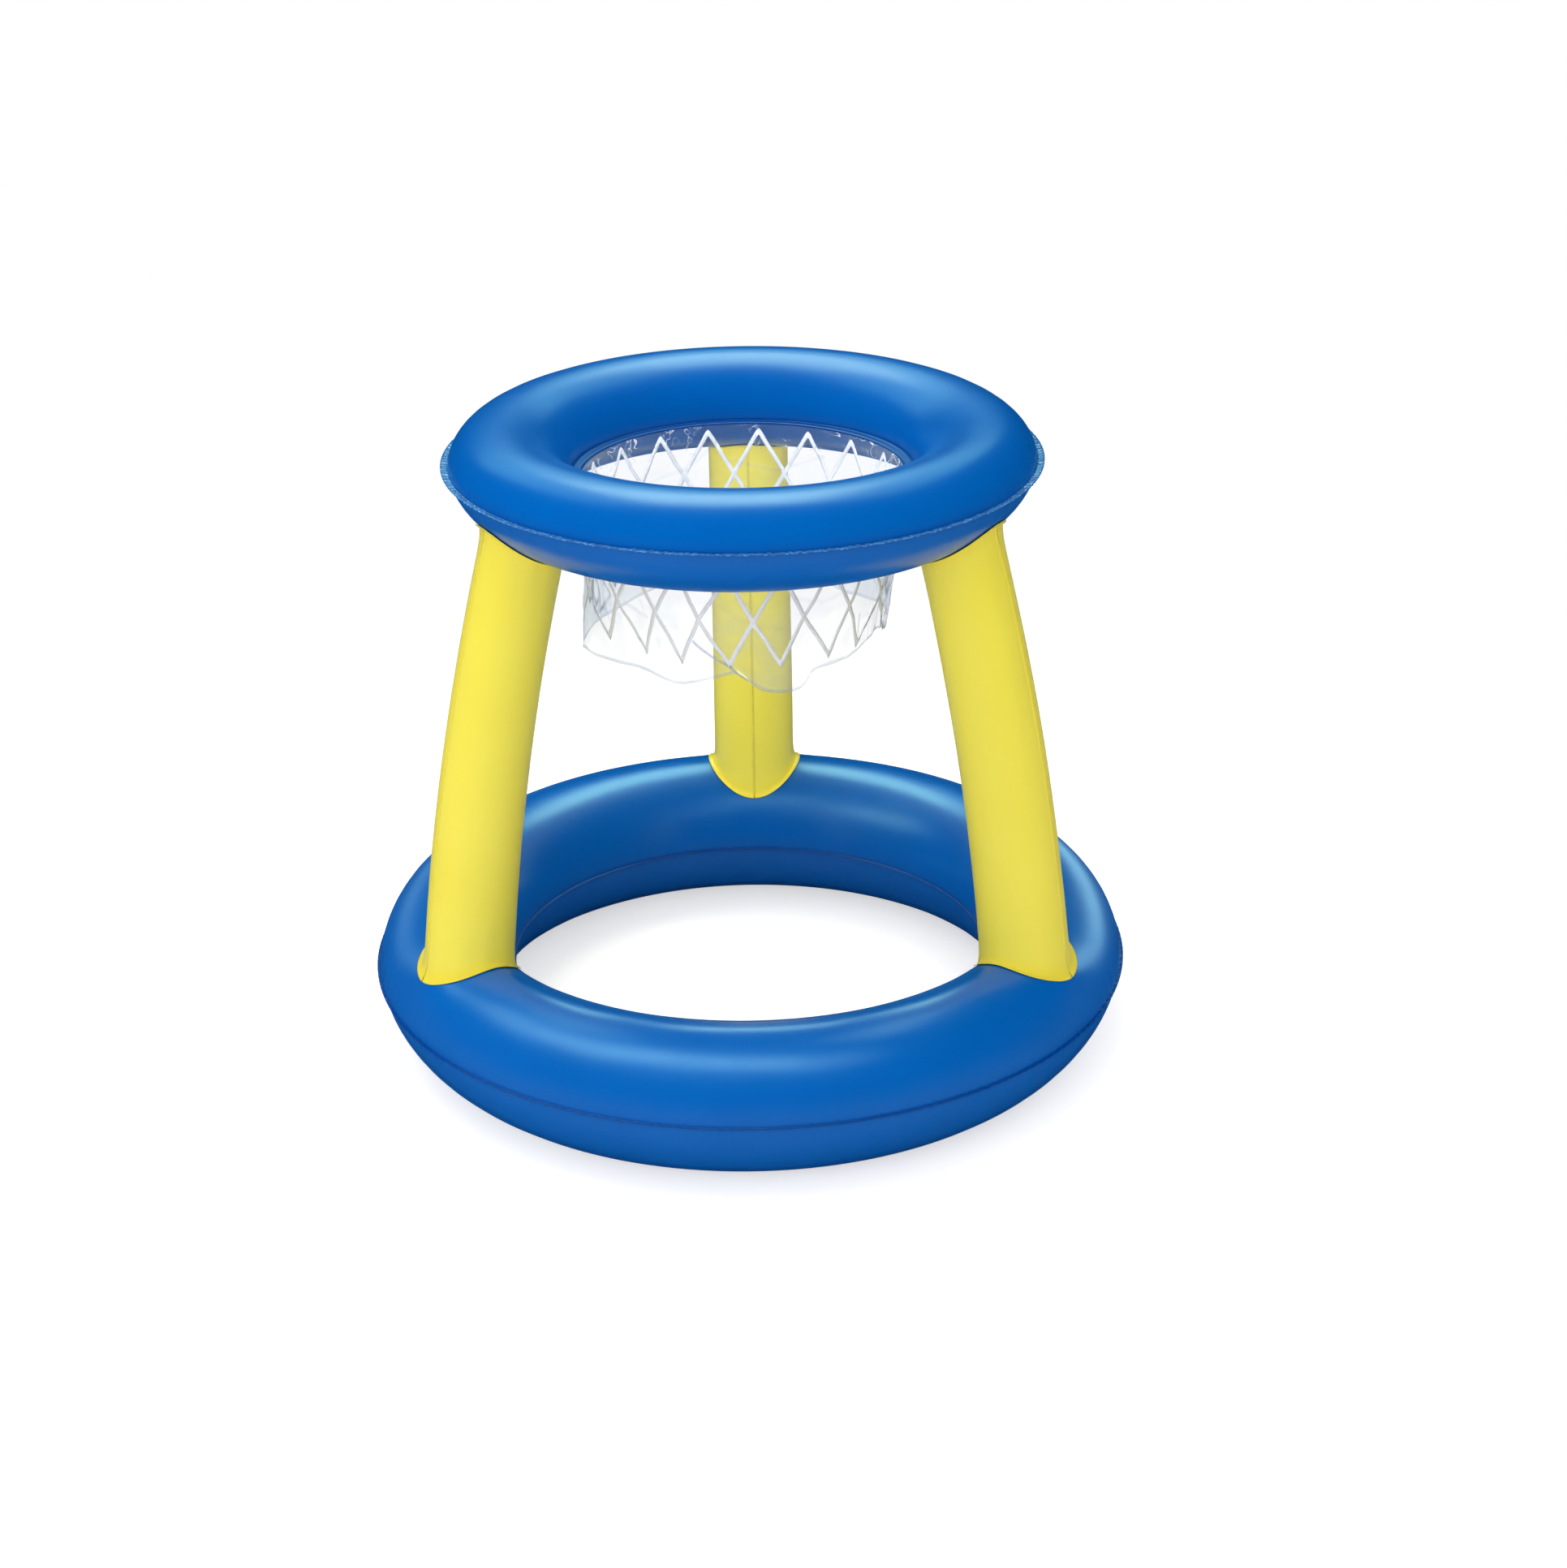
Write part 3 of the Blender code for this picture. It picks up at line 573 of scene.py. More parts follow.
YELLOW_VINYL, yellow_tree, yellow_shader, yellow_tint = sheet_vinyl(
    "calendered_yellow_PVC", "#ECDE4A", "#F3E757", 0.3
)
doubled = add(yellow_tree, "ShaderNodeAttribute", attribute_name="doubled").outputs["Fac"]
paint(yellow_tree, yellow_shader, yellow_tint, (doubled, "#ECDB48"))


def leg_centre(height):
    """Distance of the leg's centre line from the hoop's axis at a height."""
    low = BASE.height_at(BASE.centre_radius, 1)
    high = HOOP.height_at(HOOP.centre_radius, -1)
    share = (height - low) / (high - low)
    run = HOOP.centre_radius + LEG_HEAD_OUTSET - BASE.centre_radius
    return BASE.centre_radius + run * share + LEG_BOW * 4 * share * (1 - share)


def seat_height(ring, side, across, along):
    """Height where the leg's sheet lies on a ring, at offsets from the leg's centre line."""
    height = ring.height_at(ring.centre_radius, side) + 0 * across
    probe = LEG_SEAT_PROBE
    for _ in range(LEG_SEAT_PASSES):
        radius = np.hypot(leg_centre(height) + across, along)
        slope = ring.height_at(radius + probe, side) - ring.height_at(radius - probe, side)
        thickness = (LEG_SEAT_GAP + VINYL_WALL) * np.hypot(1, slope / probe / 2)
        height = ring.height_at(radius, side) + side * thickness
    if ring is BASE:
        turn = np.arctan2(along, leg_centre(height) + across)
        height = height + foot_lift(radius, turn * radius)
    return height


def leg_panel(name, node, bearing, hand):
    """Half of a leg: foot brim, rising rows with seam edges, head brim."""
    seam_face = WELD_CLOSED_GAP / 2 + VINYL_WALL
    brim = np.linspace(1, 0, LEG_BRIM_ROWS + 1)[:-1]
    rise = np.linspace(0, 1, LEG_ROWS + 1)
    rise = rise - LEG_ROW_EASE * np.sin(math.tau * rise)
    shares = np.concatenate([0 * brim, rise, 0 * brim + 1])
    splays = np.concatenate([brim, 0 * rise, brim[::-1]])
    turns = np.linspace(0, math.pi, LEG_COLUMNS + 1)
    rows = []
    for share, splay in zip(shares, splays):
        radius = (LEG_FOOT_DIAMETER + (LEG_HEAD_DIAMETER - LEG_FOOT_DIAMETER) * share) / 2
        end = min(share, 1 - share) * LEG_LENGTH
        radius += LEG_FLARE * math.exp(-end / LEG_FLARE_REACH)
        radius += splay * (LEG_BRIM_WIDTH - LEG_FLARE)
        start = math.asin(seam_face / radius)
        angles = start + (math.pi - 2 * start) * turns / math.pi
        on_seam = min(share - LEG_SEAM_START, 1 - LEG_SEAM_START - share) / LEG_SEAM_FADE
        seam = LEG_SEAM_WIDTH * min(1, max(0, on_seam))
        across = np.concatenate([[radius + seam], radius * np.cos(angles), [-radius - seam]])
        along = np.concatenate([[seam_face], radius * np.sin(angles), [seam_face]])
        foot = seat_height(BASE, 1, across, along)
        head = seat_height(HOOP, -1, across, along)
        lip = LEG_BRIM_LIP * max(0, splay * 2 - 1) ** 2
        height = foot + lip + (head - foot - 2 * lip) * share
        rows.append(np.column_stack([leg_centre(height) + across, hand * along, height]))
    crease_leg(rows, shares, bearing)
    item = link_piece(name, leg_mesh(name, rows, hand))
    doubling = np.zeros((len(rows), len(rows[0])))
    ends = np.minimum(shares, 1 - shares) * LEG_LENGTH
    doubling[:] = np.exp(-(ends / LEG_BRIM_SHADE_REACH) ** 2)[:, None]
    doubling[:, [0, 1, -2, -1]] = np.maximum(doubling[:, :1], LEG_SEAM_SHADE)
    mark(item.data, doubled=doubling)
    item.data.transform(Matrix.Rotation(bearing, 4, "Z"))
    thicken(item, VINYL_WALL)
    settle(item)
    dress(item, YELLOW_VINYL, "float_frame", "yellow_vinyl", node)


def crease_leg(rows, shares, bearing):
    """Adds the sheet's soft creases, which are deepest beside the brims, and its faint waves."""
    for row, end in zip(rows, np.minimum(shares, 1 - shares)):
        depth = LEG_CREASE_DEPTH * math.exp(-end / LEG_CREASE_REACH)
        depth *= min(1, end / LEG_CREASE_START)
        swell = LEG_WAVE_DEPTH * min(1, end / LEG_WAVE_START)
        for centre, point in zip(leg_centre(row[:, 2]), row):
            x, y, z = point
            outward = Vector((x - centre, y, 0)).normalized()
            spot = Vector((outward.x * 3.2, outward.y * 3.2, z * 9 + bearing * 7))
            wave = noise.noise(Vector((x * 16, y * 16, z * 9 + bearing))) * swell
            point[:2] += outward.xy * (noise.noise(spot) * depth + wave)


def leg_mesh(name, rows, hand):
    """Mesh over a panel's rows of points, facing out of the leg."""
    count = len(rows[0])
    faces = []
    for row in range(len(rows) - 1):
        for column in range(count - 1):
            near = row * count + column
            face = (near, near + 1, near + 1 + count, near + count)
            faces.append(face if hand > 0 else face[::-1])
    mesh = bpy.data.meshes.new(name)
    mesh.from_pydata(np.concatenate(rows).tolist(), [], faces)
    mesh.shade_smooth()
    return mesh


for leg_name, leg_bearing in LEG_BEARINGS.items():
    for side_name, hand in (("_left", 1), ("_right", -1)):
        piece = leg_name + side_name
        leg_panel(piece + "_half", piece + "_panel", leg_bearing, hand)


# Net film. A straight strip of 0.2 mm clear PVC film, closed into a skirt by an overlap weld. Its
# top edge is welded under the hoop ring's inner weld, and it hangs creased from being packed flat.

FILM_WALL = 0.0002
NET_DROP = 0.128
NET_WELD_WIDTH = 0.0065
NET_TURN_RADIUS = 0.002
NET_COLUMNS_NEAR = 380
NET_COLUMNS_FAR = 220
NET_ROWS = 74
FILM_DEGREE = 2.06
FILM_WAVE_DEPTH = 0.0022
FILM_BEND_DEPTH = 0.0008
FILM_CRUMPLE_DEPTH = 0.003
CREASE_SHADE_COVER = 0.45
GLINT_COVER = 0.75
HEM_CREASE_NEAR = 0.4
HEM_CREASE_FAR = 0.25
CURVE_STEP = 0.5
CURVE_REACH = 40
HEM_DROPS = (
    (0, 121), (20, 125), (45, 130), (70, 125), (95, 131), (120, 126), (150, 132), (178, 135),
    (187, 136), (195, 131), (200, 133.5), (212, 132), (224, 129.5), (232, 128.5), (240, 131),
    (244, 132), (248, 131), (252, 128), (256, 125), (264, 119.5), (268, 117.5), (272, 123),
    (276, 130), (280, 133), (288, 135), (292, 134.5), (294.5, 129), (296, 123), (300, 120.5),
    (312, 120), (320, 118), (324, 115), (328, 110.5), (332, 108.5), (336, 109.5), (344, 117.5),
    (350, 120.5),
)
HEM_DEPTHS = (
    (0, 16), (22, 8), (45, 9), (70, 4), (95, 8), (120, 3), (145, 8), (170, 1), (187, -3), (195, -3),
    (205, 4), (215, 10), (226, 14), (237, 10), (247, 7), (256, 3), (265, 4), (275, 1), (284, 1),
    (294, 7), (303, 5), (313, 9), (322, 13), (331, 12), (345, 15),
)
# Each fold: its path in degrees round the hoop and millimetres down, its half width and lift in
# millimetres, and how much painted shade it lays along itself.
FOLDS = (
    (((253, 93), (259.6, 104), (265.5, 112), (274, 128), (277, 135)), 1.0, 1.8, 0.9),
    (((222, 76), (229, 80), (233, 81.5)), 1.2, 1.0, 0.25),
    (((230, 69), (231.5, 77)), 1.2, 0.5, 0.12),
    (((237.8, 98), (239.4, 111), (241.5, 124)), 2.6, 1.5, 0.10),
    (((297, 122), (303, 118.5), (310, 119.5)), 2.2, -1.5, 0.30),
    (((318, 86), (318, 108)), 0.9, 1.0, 0.40),
    (((335, 70), (327.6, 86), (320.5, 101), (318.5, 108)), 1.1, 1.6, 0.40),
    (((342, 71), (334.7, 94), (334.7, 107), (341, 116)), 1.1, 1.6, 0.45),
    (((345, 66), (346, 100)), 4.0, -1.5, 0.16),
    (((200, 66), (203, 81), (202.5, 89), (205, 95)), 1.0, 0.9, 0.50),
    (((210, 62), (214, 74), (210, 84), (207, 92)), 1.0, 0.9, 0.50),
    (((205, 64), (207.5, 78), (206, 93)), 0.9, 0.7, 0.45),
    (((286, 58), (300, 66), (308, 62)), 1.6, 0.8, 0.08),
    (((262, 62), (270, 74), (283, 82)), 2.0, 0.9, 0.06),
    (((246, 84), (252, 97), (250, 112)), 2.2, 1.1, 0.06),
    (((60, 22), (78, 38), (96, 30)), 1.6, 0.9, 0.12),
    (((100, 12), (112, 34), (128, 40)), 1.8, 0.9, 0.10),
    (((20, 30), (36, 44), (50, 40)), 1.8, 0.9, 0.12),
)


def net_top():
    """Height of the film's weld strip, under the hoop ring's inner weld."""
    across = HOOP.hole_radius - HOOP.centre_radius
    middle = HOOP.centre_height + HOOP.lean * across
    return middle - WELD_GAP / 2 - VINYL_WALL - WELD_GAP - FILM_WALL


def around_curve(table, spread):
    """Smooth curve round the hoop through points of degrees and values. It takes radians."""
    degrees, values = np.array(table, float).T
    fine = np.arange(0, 360, CURVE_STEP)
    level = np.interp(fine, degrees, values, period=360)
    reach = np.arange(-CURVE_REACH, CURVE_REACH + 1)
    weights = np.exp(-(reach * CURVE_STEP / spread) ** 2)
    smooth = sum(np.roll(level, shift) * weight for shift, weight in zip(reach, weights))
    smooth = smooth / weights.sum()
    return lambda bearing: np.interp(np.degrees(bearing) % 360, fine, smooth, period=360)


hem_drop = around_curve(HEM_DROPS, 1.2)
hem_depth = around_curve(HEM_DEPTHS, 4)


def fold_marks(bearings, drops):
    """Lift in metres that the chosen creases give the film at points on it, and the painted shade
    that they lay along themselves.
    """
    across = np.degrees(bearings) % 360 * FILM_DEGREE
    down = np.asarray(drops) * 1000
    lift = np.zeros(across.shape)
    cloud = np.zeros(across.shape)
    for path, half_width, height, fold_shade in FOLDS:
        nearest = np.full(across.shape, np.inf)
        for start, end in zip(path, path[1:]):
            way = np.array([(end[0] - start[0]) * FILM_DEGREE, end[1] - start[1]])
            off_x = across - start[0] * FILM_DEGREE
            off_y = down - start[1]
            share = np.clip((off_x * way[0] + off_y * way[1]) / way.dot(way), 0, 1)
            nearest = np.minimum(nearest, np.hypot(off_x - share * way[0], off_y - share * way[1]))
        lift += height / 1000 * np.exp(-(nearest / half_width / 2.5))
        cloud += fold_shade * np.exp(-(nearest / half_width) ** 2)
    return lift, cloud


def ridge(spot):
    """Sharp bends between softer fields: one along a noise's zero lines."""
    return 1 - min(1, abs(noise.noise(spot)) * 3.5)


def film_points(bearings, drops):
    """Points of the hanging film at bearings and distances below its top."""
    bearings, drops = np.broadcast_arrays(bearings, drops)
    share = np.maximum(0, drops - NET_TURN_RADIUS) / (NET_DROP - NET_TURN_RADIUS)
    radius = HOOP.hole_radius - hem_depth(bearings) / 1000 * share ** 1.3
    radius = radius + fold_marks(bearings, drops)[0] * np.minimum(1, share * 5)
    crushed = crumple_shares(bearings, drops)
    points = np.empty(bearings.shape + (3,))
    for place in np.ndindex(bearings.shape):
        cosine = math.cos(bearings[place])
        sine = math.sin(bearings[place])
        drop = drops[place]
        hang = min(1, share[place] * 4)
        wave = noise.noise(Vector((cosine * 3.2, sine * 3.2, drop * 22))) * FILM_WAVE_DEPTH
        bend = ridge(Vector((cosine * 4.5 + drop * 12, sine * 4.5, drop * 30 - 9))) - 0.4
        bend *= FILM_BEND_DEPTH
        upright = noise.noise(Vector((cosine * 20, sine * 20, drop * 14))) * FILM_CRUMPLE_DEPTH
        reach = radius[place] + (wave + bend) * hang + upright * crushed[place]
        points[place] = (reach * cosine, reach * sine, net_top() - drop)
    return points


def crumple_shares(bearings, drops):
    """Where the film is crushed together: at its left and right ends."""
    degrees = np.degrees(bearings) % 360
    left = np.exp(-((degrees - 204) / 8) ** 2) * np.exp(-((drops - 0.078) / 0.017) ** 2)
    right = np.exp(-((degrees - 337) / 11) ** 2) * np.clip((drops - 0.03) / 0.04, 0, 1)
    return np.maximum(left, right * 0.55)


def film_grid(bearings):
    """Points of the film, in rows from the weld strip's outer edge down to the hem."""
    out = NET_WELD_WIDTH * np.array([1, 2 / 3, 1 / 3])[:, None]
    reach = HOOP.hole_radius + out
    heights = np.broadcast_to(net_top() + HOOP.lean * out, (3, len(bearings)))
    strip = np.stack([reach * np.cos(bearings), reach * np.sin(bearings), heights], axis=2)
    drops = np.linspace(0, 1, NET_ROWS + 1)[:, None] * hem_drop(bearings) / 1000
    return np.concatenate([strip, film_points(bearings, drops)]), drops


def grid_mesh(name, rows):
    """Mesh over closed rows of points that face outwards."""
    mesh = bpy.data.meshes.new(name)
    count = len(rows[0])
    faces = []
    for row in range(len(rows) - 1):
        for column in range(count):
            near = row * count + column
            far = row * count + (column + 1) % count
            faces.append((near, near + count, far + count, far))
    mesh.from_pydata(np.reshape(rows, (-1, 3)).tolist(), [], faces)
    mesh.shade_smooth()
    return mesh


def clear_film():
    """Clear PVC film: barely seen face on, pale where it turns away, clouded with painted shade
    where it is creased, and with painted glints near its top.
    """
    uniform = {"Roughness": 0.1, "IOR": PVC_IOR}
    material, tree, shader, place = start_material("clear_PVC_film", uniform)
    facing = add(tree, "ShaderNodeLayerWeight", {"Blend": 0.3}).outputs["Facing"]
    edge = {"Value": facing, "To Min": 0.03, "To Max": 0.17}
    edge = add(tree, "ShaderNodeMapRange", edge)
    haze = add(tree, "ShaderNodeTexNoise", {"Vector": place, "Scale": 30, "Detail": 2})
    mist = {"Value": haze, "From Min": 0.2, "From Max": 0.7, "To Max": 0.11}
    mist = add(tree, "ShaderNodeMapRange", mist)
    height = add(tree, "ShaderNodeSeparateXYZ", (place,)).outputs["Z"]
    # The mist thins out towards the weld strip at the top.
    mist_fade_upward = {"Value": height, "From Min": net_top() - 0.075, "From Max": net_top() - 0.03}
    mist_fade_upward = add(tree, "ShaderNodeMapRange", {**mist_fade_upward, "To Min": 1, "To Max": 0.1})
    cover = add(tree, "ShaderNodeMath", (mist, mist_fade_upward, edge), operation="MULTIPLY_ADD")

    # Painted shade in the creases: fine wrinkle lines where the film is crushed, with the listed
    # folds and the hem, take more cover and a darker tint.
    wrinkle = add(tree, "ShaderNodeMapping", {"Vector": place, "Scale": (190, 190, 24)})
    wrinkle = {"Vector": wrinkle, "Scale": 1}
    wrinkle = add(tree, "ShaderNodeTexVoronoi", wrinkle, feature="DISTANCE_TO_EDGE")
    crease = {"Value": wrinkle, "From Min": 0.02, "From Max": 0.07, "To Min": 1, "To Max": 0}
    crease = [add(tree, "ShaderNodeMapRange", crease)]
    for name in ("crushed", "crease"):
        crease.append(add(tree, "ShaderNodeAttribute", attribute_name=name).outputs["Fac"])
    crease = add(tree, "ShaderNodeMath", crease, operation="MULTIPLY_ADD", use_clamp=True)
    cover = add(tree, "ShaderNodeMath", (crease, CREASE_SHADE_COVER, cover), operation="MULTIPLY_ADD")

    # Painted glints: thin white lines near the weld strip, where the film's crinkles would catch
    # the light.
    glint = {"Vector": place, "Scale": 1 / 0.009, "Detail": 1, "Distortion": 0.8}
    glint = add(tree, "ShaderNodeTexNoise", glint)
    glint = add(tree, "ShaderNodeMath", (glint, 0.5), operation="SUBTRACT")
    glint = add(tree, "ShaderNodeMath", (glint,), operation="ABSOLUTE")
    glint = {"Value": glint, "From Max": 0.018, "To Min": 1, "To Max": 0}
    glint = add(tree, "ShaderNodeMapRange", glint)
    some = {"Value": haze, "From Min": 0.47, "From Max": 0.6}
    high = {"Value": height, "From Min": net_top() - 0.024, "From Max": net_top() - 0.012}
    for limit in (some, high):
        limit = add(tree, "ShaderNodeMapRange", limit)
        glint = add(tree, "ShaderNodeMath", (glint, limit), operation="MULTIPLY")
    cover = (glint, GLINT_COVER, cover)
    cover = add(tree, "ShaderNodeMath", cover, operation="MULTIPLY_ADD", use_clamp=True)
    tree.links.new(cover.outputs[0], shader.inputs["Alpha"])
    # Creases get a darker tint, which is painted shade. Glint lines get white, which is painted
    # highlight.
    paint(tree, shader, "#B4CCE8", (crease, "#7F91B2"), (glint, "#FFFFFF"))
    cockle = {"Value": height, "From Min": net_top() - 0.02, "From Max": net_top()}
    cockle = add(tree, "ShaderNodeMapRange", {**cockle, "To Min": 0.06, "To Max": 0.9})
    roughen(tree, shader, place, (0.005, 1, 0.0006, cockle))
    return material


far_bearings = np.linspace(0, math.pi, NET_COLUMNS_FAR, endpoint=False)
near_bearings = np.linspace(math.pi, math.tau, NET_COLUMNS_NEAR, endpoint=False)
net_bearings = np.concatenate([far_bearings, near_bearings])
net_rows, net_drops = film_grid(net_bearings)
bearing_grid = np.broadcast_to(net_bearings, net_drops.shape)
net_creases, net_crushing = np.zeros((2, *net_rows.shape[:2]))
net_creases[3:] = fold_marks(bearing_grid, net_drops)[1]
# The hem's bottom rows are clouded as well, partly for its folded edge and partly as painted shade.
hem_creases = np.where(np.sin(net_bearings) < -0.05, HEM_CREASE_NEAR, HEM_CREASE_FAR)
net_creases[-2:] = np.maximum(net_creases[-2:], hem_creases)
net_crushing[3:] = crumple_shares(bearing_grid, net_drops)
net_skirt = link_piece("net_skirt", grid_mesh("net_skirt", net_rows))
mark(net_skirt.data, crease=net_creases, crushed=net_crushing)
thicken(net_skirt, FILM_WALL)
settle(net_skirt)
dress(net_skirt, clear_film(), "float_frame", "clear_film", "net_film")


# Net print. White ink, screen printed on the film in its flat: a lattice of crossing slanted
# lines, three cells deep. Where the film bends, the lines bend with it.

NET_REPEATS = 19
NET_LEVELS = 3
NET_CELL_RISE = 0.0355
NET_PRINT_DROP = 0.0025
NET_LINE_WIDTH = 0.0034
NET_PHASE_SHARE = -0.5
NET_PRINT_LIFT = 0.0001
NET_INK_WALL = 0.0001
NET_LINE_STEPS = 16
NET_LINE_WANDER = 0.35
NET_PROBE_TURN = 0.004
NET_PROBE_DROP = 0.0005
TIP_SHIFTS = (
    (0, 0), (180, 0), (189, 0), (208.7, 1.4), (227.6, 3.7), (246.6, 1.4), (265.5, 0.5),
    (284.5, -0.9), (303.4, 0), (322.4, -5), (341, -3),
)
CROSSING_SHIFTS = (
    (0, 0), (180, 0), (199, 0), (218, -0.9), (237, 0.4), (256, -0.9), (275, -0.7), (294, -1.4),
    (313, -0.9), (330, 0),
)


def lattice_unit(half_column, half_wide, half_tall):
    """A crossing's small diamond, with the two lines that run down from it."""
    mesh = bpy.data.meshes.new("lattice unit")
    points = [(0, half_tall, 0), (half_wide, 0, 0), (0, -half_tall, 0), (-half_wide, 0, 0)]
    faces = [(0, 3, 2, 1)]
    lines = [0]
    run = half_column - half_wide
    fall = NET_CELL_RISE - half_tall
    for hand in (1, -1):
        first = len(points)
        for step in range(NET_LINE_STEPS + 1):
            share = step / NET_LINE_STEPS
            points.append((hand * (half_wide + run * share), -fall * share, 0))
            points.append((hand * run * share, -half_tall - fall * share, 0))
        for step in range(NET_LINE_STEPS):
            near = first + 2 * step
            face = (near, near + 1, near + 3, near + 2)
            faces.append(face if hand > 0 else face[::-1])
            lines.append(1)
    mesh.from_pydata(points, [], faces)
    mesh.attributes.new("is_line", "INT", "FACE").data.foreach_set("value", lines)
    return mesh


def lattice_tree(material):
    """Rows of crossings, each odd row half a repeat aside, with lines between all but the last."""
    kinds = {"Repeats": "Int", "Levels": "Int", "Repeat width": "Float", "Cell rise": "Float"}
    tree, given = start_tree("printed lattice", kinds)
    rows = add(tree, "ShaderNodeMath", (given["Levels"], 1), operation="ADD")
    total = add(tree, "ShaderNodeMath", (given["Repeats"], rows), operation="MULTIPLY")
    spots = add(tree, "GeometryNodeMeshLine", {"Count": total, "Offset": (0, 0, 0)})
    index = add(tree, "GeometryNodeInputIndex")
    level = add(tree, "ShaderNodeMath", (index, given["Repeats"]), operation="DIVIDE")
    level = add(tree, "ShaderNodeMath", (level,), operation="FLOOR")
    column = add(tree, "ShaderNodeMath", (index, given["Repeats"]), operation="MODULO")
    odd = add(tree, "ShaderNodeMath", (level, 2), operation="MODULO")
    aside = add(tree, "ShaderNodeMath", (odd, 0.5, column), operation="MULTIPLY_ADD")
    across = add(tree, "ShaderNodeMath", (aside, given["Repeat width"]), operation="MULTIPLY")
    sunk = add(tree, "ShaderNodeMath", (level, given["Cell rise"]), operation="MULTIPLY")
    down = add(tree, "ShaderNodeMath", (0, sunk), operation="SUBTRACT")
    spot = add(tree, "ShaderNodeCombineXYZ", (across, down))
    spots = add(tree, "GeometryNodeSetPosition", {"Geometry": spots, "Position": spot})
    last = {0: level, 1: given["Levels"]}
    last = add(tree, "FunctionNodeCompare", last, operation="GREATER_EQUAL")
    not_last = add(tree, "FunctionNodeBooleanMath", (last,), operation="NOT")
    is_line = add(tree, "GeometryNodeInputNamedAttribute", ("is_line",), data_type="INT")
    bare = {"Geometry": given["Geometry"], "Selection": is_line}
    bare = add(tree, "GeometryNodeDeleteGeometry", bare, domain="FACE")
    joined = add(tree, "GeometryNodeJoinGeometry")
    for chosen, unit in ((not_last, given["Geometry"]), (last, bare)):
        spread = {"Points": spots, "Selection": chosen, "Instance": unit}
        spread = add(tree, "GeometryNodeInstanceOnPoints", spread)
        tree.links.new(spread.outputs[0], joined.inputs[0])
    return finish_tree(tree, joined, material, MERGE_DISTANCE)


def white_ink():
    """Opaque white vinyl ink: a dull, slightly uneven coat."""
    uniform = {"Roughness": 0.48}
    material, tree, shader, place = start_material("screen_printed_white_ink", uniform)
    patch = add(tree, "ShaderNodeTexNoise", {"Vector": place, "Scale": 90, "Detail": 3})
    paint(tree, shader, "#DCE0E6", (patch, "#EEF0F6"))
    roughen(tree, shader, place, (0.0009, 2, 0.00002, 0.4))
    return material


tip_shift = around_curve(TIP_SHIFTS, 4)
crossing_shift = around_curve(CROSSING_SHIFTS, 4)


def lay_on_film(mesh):
    """Moves the flat lattice onto the hanging film, just proud of its outer face."""
    flat = points_of(mesh)
    bearings = flat[:, 0] / HOOP.hole_radius + math.tau * NET_PHASE_SHARE / NET_REPEATS
    start = NET_TURN_RADIUS + NET_PRINT_DROP
    drops = start - np.minimum(flat[:, 1], NET_LINE_WIDTH / 2)
    level = (drops - start) / NET_CELL_RISE
    shift = crossing_shift(bearings) * np.clip(level - 1, 0, 1)
    shift = shift + (tip_shift(bearings) - crossing_shift(bearings)) * np.clip(level - 2, 0, 1)
    for index, (bearing, drop) in enumerate(zip(bearings, drops)):
        spot = Vector((math.cos(bearing) * 7, math.sin(bearing) * 7, drop * 60))
        shift[index] += noise.noise(spot) * NET_LINE_WANDER * min(1, drop / 0.02)
    bearings = bearings + np.radians(shift)
    middle = film_points(bearings, drops)
    beside = film_points(bearings + NET_PROBE_TURN, drops) - middle
    below = film_points(bearings, drops + NET_PROBE_DROP) - middle
    outward = np.cross(below, beside)
    outward /= np.linalg.norm(outward, axis=1)[:, None]
    move_points(mesh, middle + outward * NET_PRINT_LIFT)


INK = white_ink()
repeat_width = math.tau * HOOP.hole_radius / NET_REPEATS
slant = math.hypot(repeat_width / 2, NET_CELL_RISE)
unit_half_tall = NET_LINE_WIDTH * slant / repeat_width
unit_half_wide = NET_LINE_WIDTH * slant / NET_CELL_RISE / 2
net_unit = lattice_unit(repeat_width / 2, unit_half_wide, unit_half_tall)
net_lattice = link_piece("net_lattice", net_unit)
run_tree(net_lattice, lattice_tree(INK), {
    "Repeats": NET_REPEATS,
    "Levels": NET_LEVELS,
    "Repeat width": repeat_width,
    "Cell rise": NET_CELL_RISE,
})
settle(net_lattice)
lay_on_film(net_lattice.data)
net_lattice.data.shade_smooth()
thicken(net_lattice, NET_INK_WALL, 1)
settle(net_lattice)
dress(net_lattice, INK, "float_frame", "white_print", "net_print")


# Air valves. Each is one soft moulding of milky PVC: a flange welded on the sheet, and a stem that
# is pushed in once its plug is shut. A plug hangs on a strap, and a flap holds the air back.

VALVE_FLANGE_DIAMETER = 0.032
VALVE_FLANGE_WALL = 0.0006
VALVE_RUNNING_GAP = 0.0004
VALVE_STEPS = 96
LUG_POST_LENGTH = 0.0015
LUG_POST_TOP = 0.0028
PLUG_CAP_DIAMETER = 0.0144
PLUG_CAP_HEIGHT = 0.0016
PLUG_PEG_DIAMETER = 0.0066
PLUG_PEG_TIP_DIAMETER = 0.0056
PLUG_PEG_LENGTH = 0.004
STRAP_WIDTH = 0.004
STRAP_WALL = 0.001
FLAP_DIAMETER = 0.0104
FLAP_WALL = 0.0006
FLAP_TONGUE_WIDTH = 0.003
FLAP_TONGUE_REACH = 0.0007
MOULD_ROUNDING = 0.0002
VALVE_BEARING = math.radians(120)
VALVE_TURNS = {"base": math.radians(36), "hoop": math.radians(-54)}
VALVE_TURN_PROBE = 0.001
MOULD_SHARP_ANGLE = math.radians(50)
FLANGE_STEPS = 12
PIN_SIDES = 32


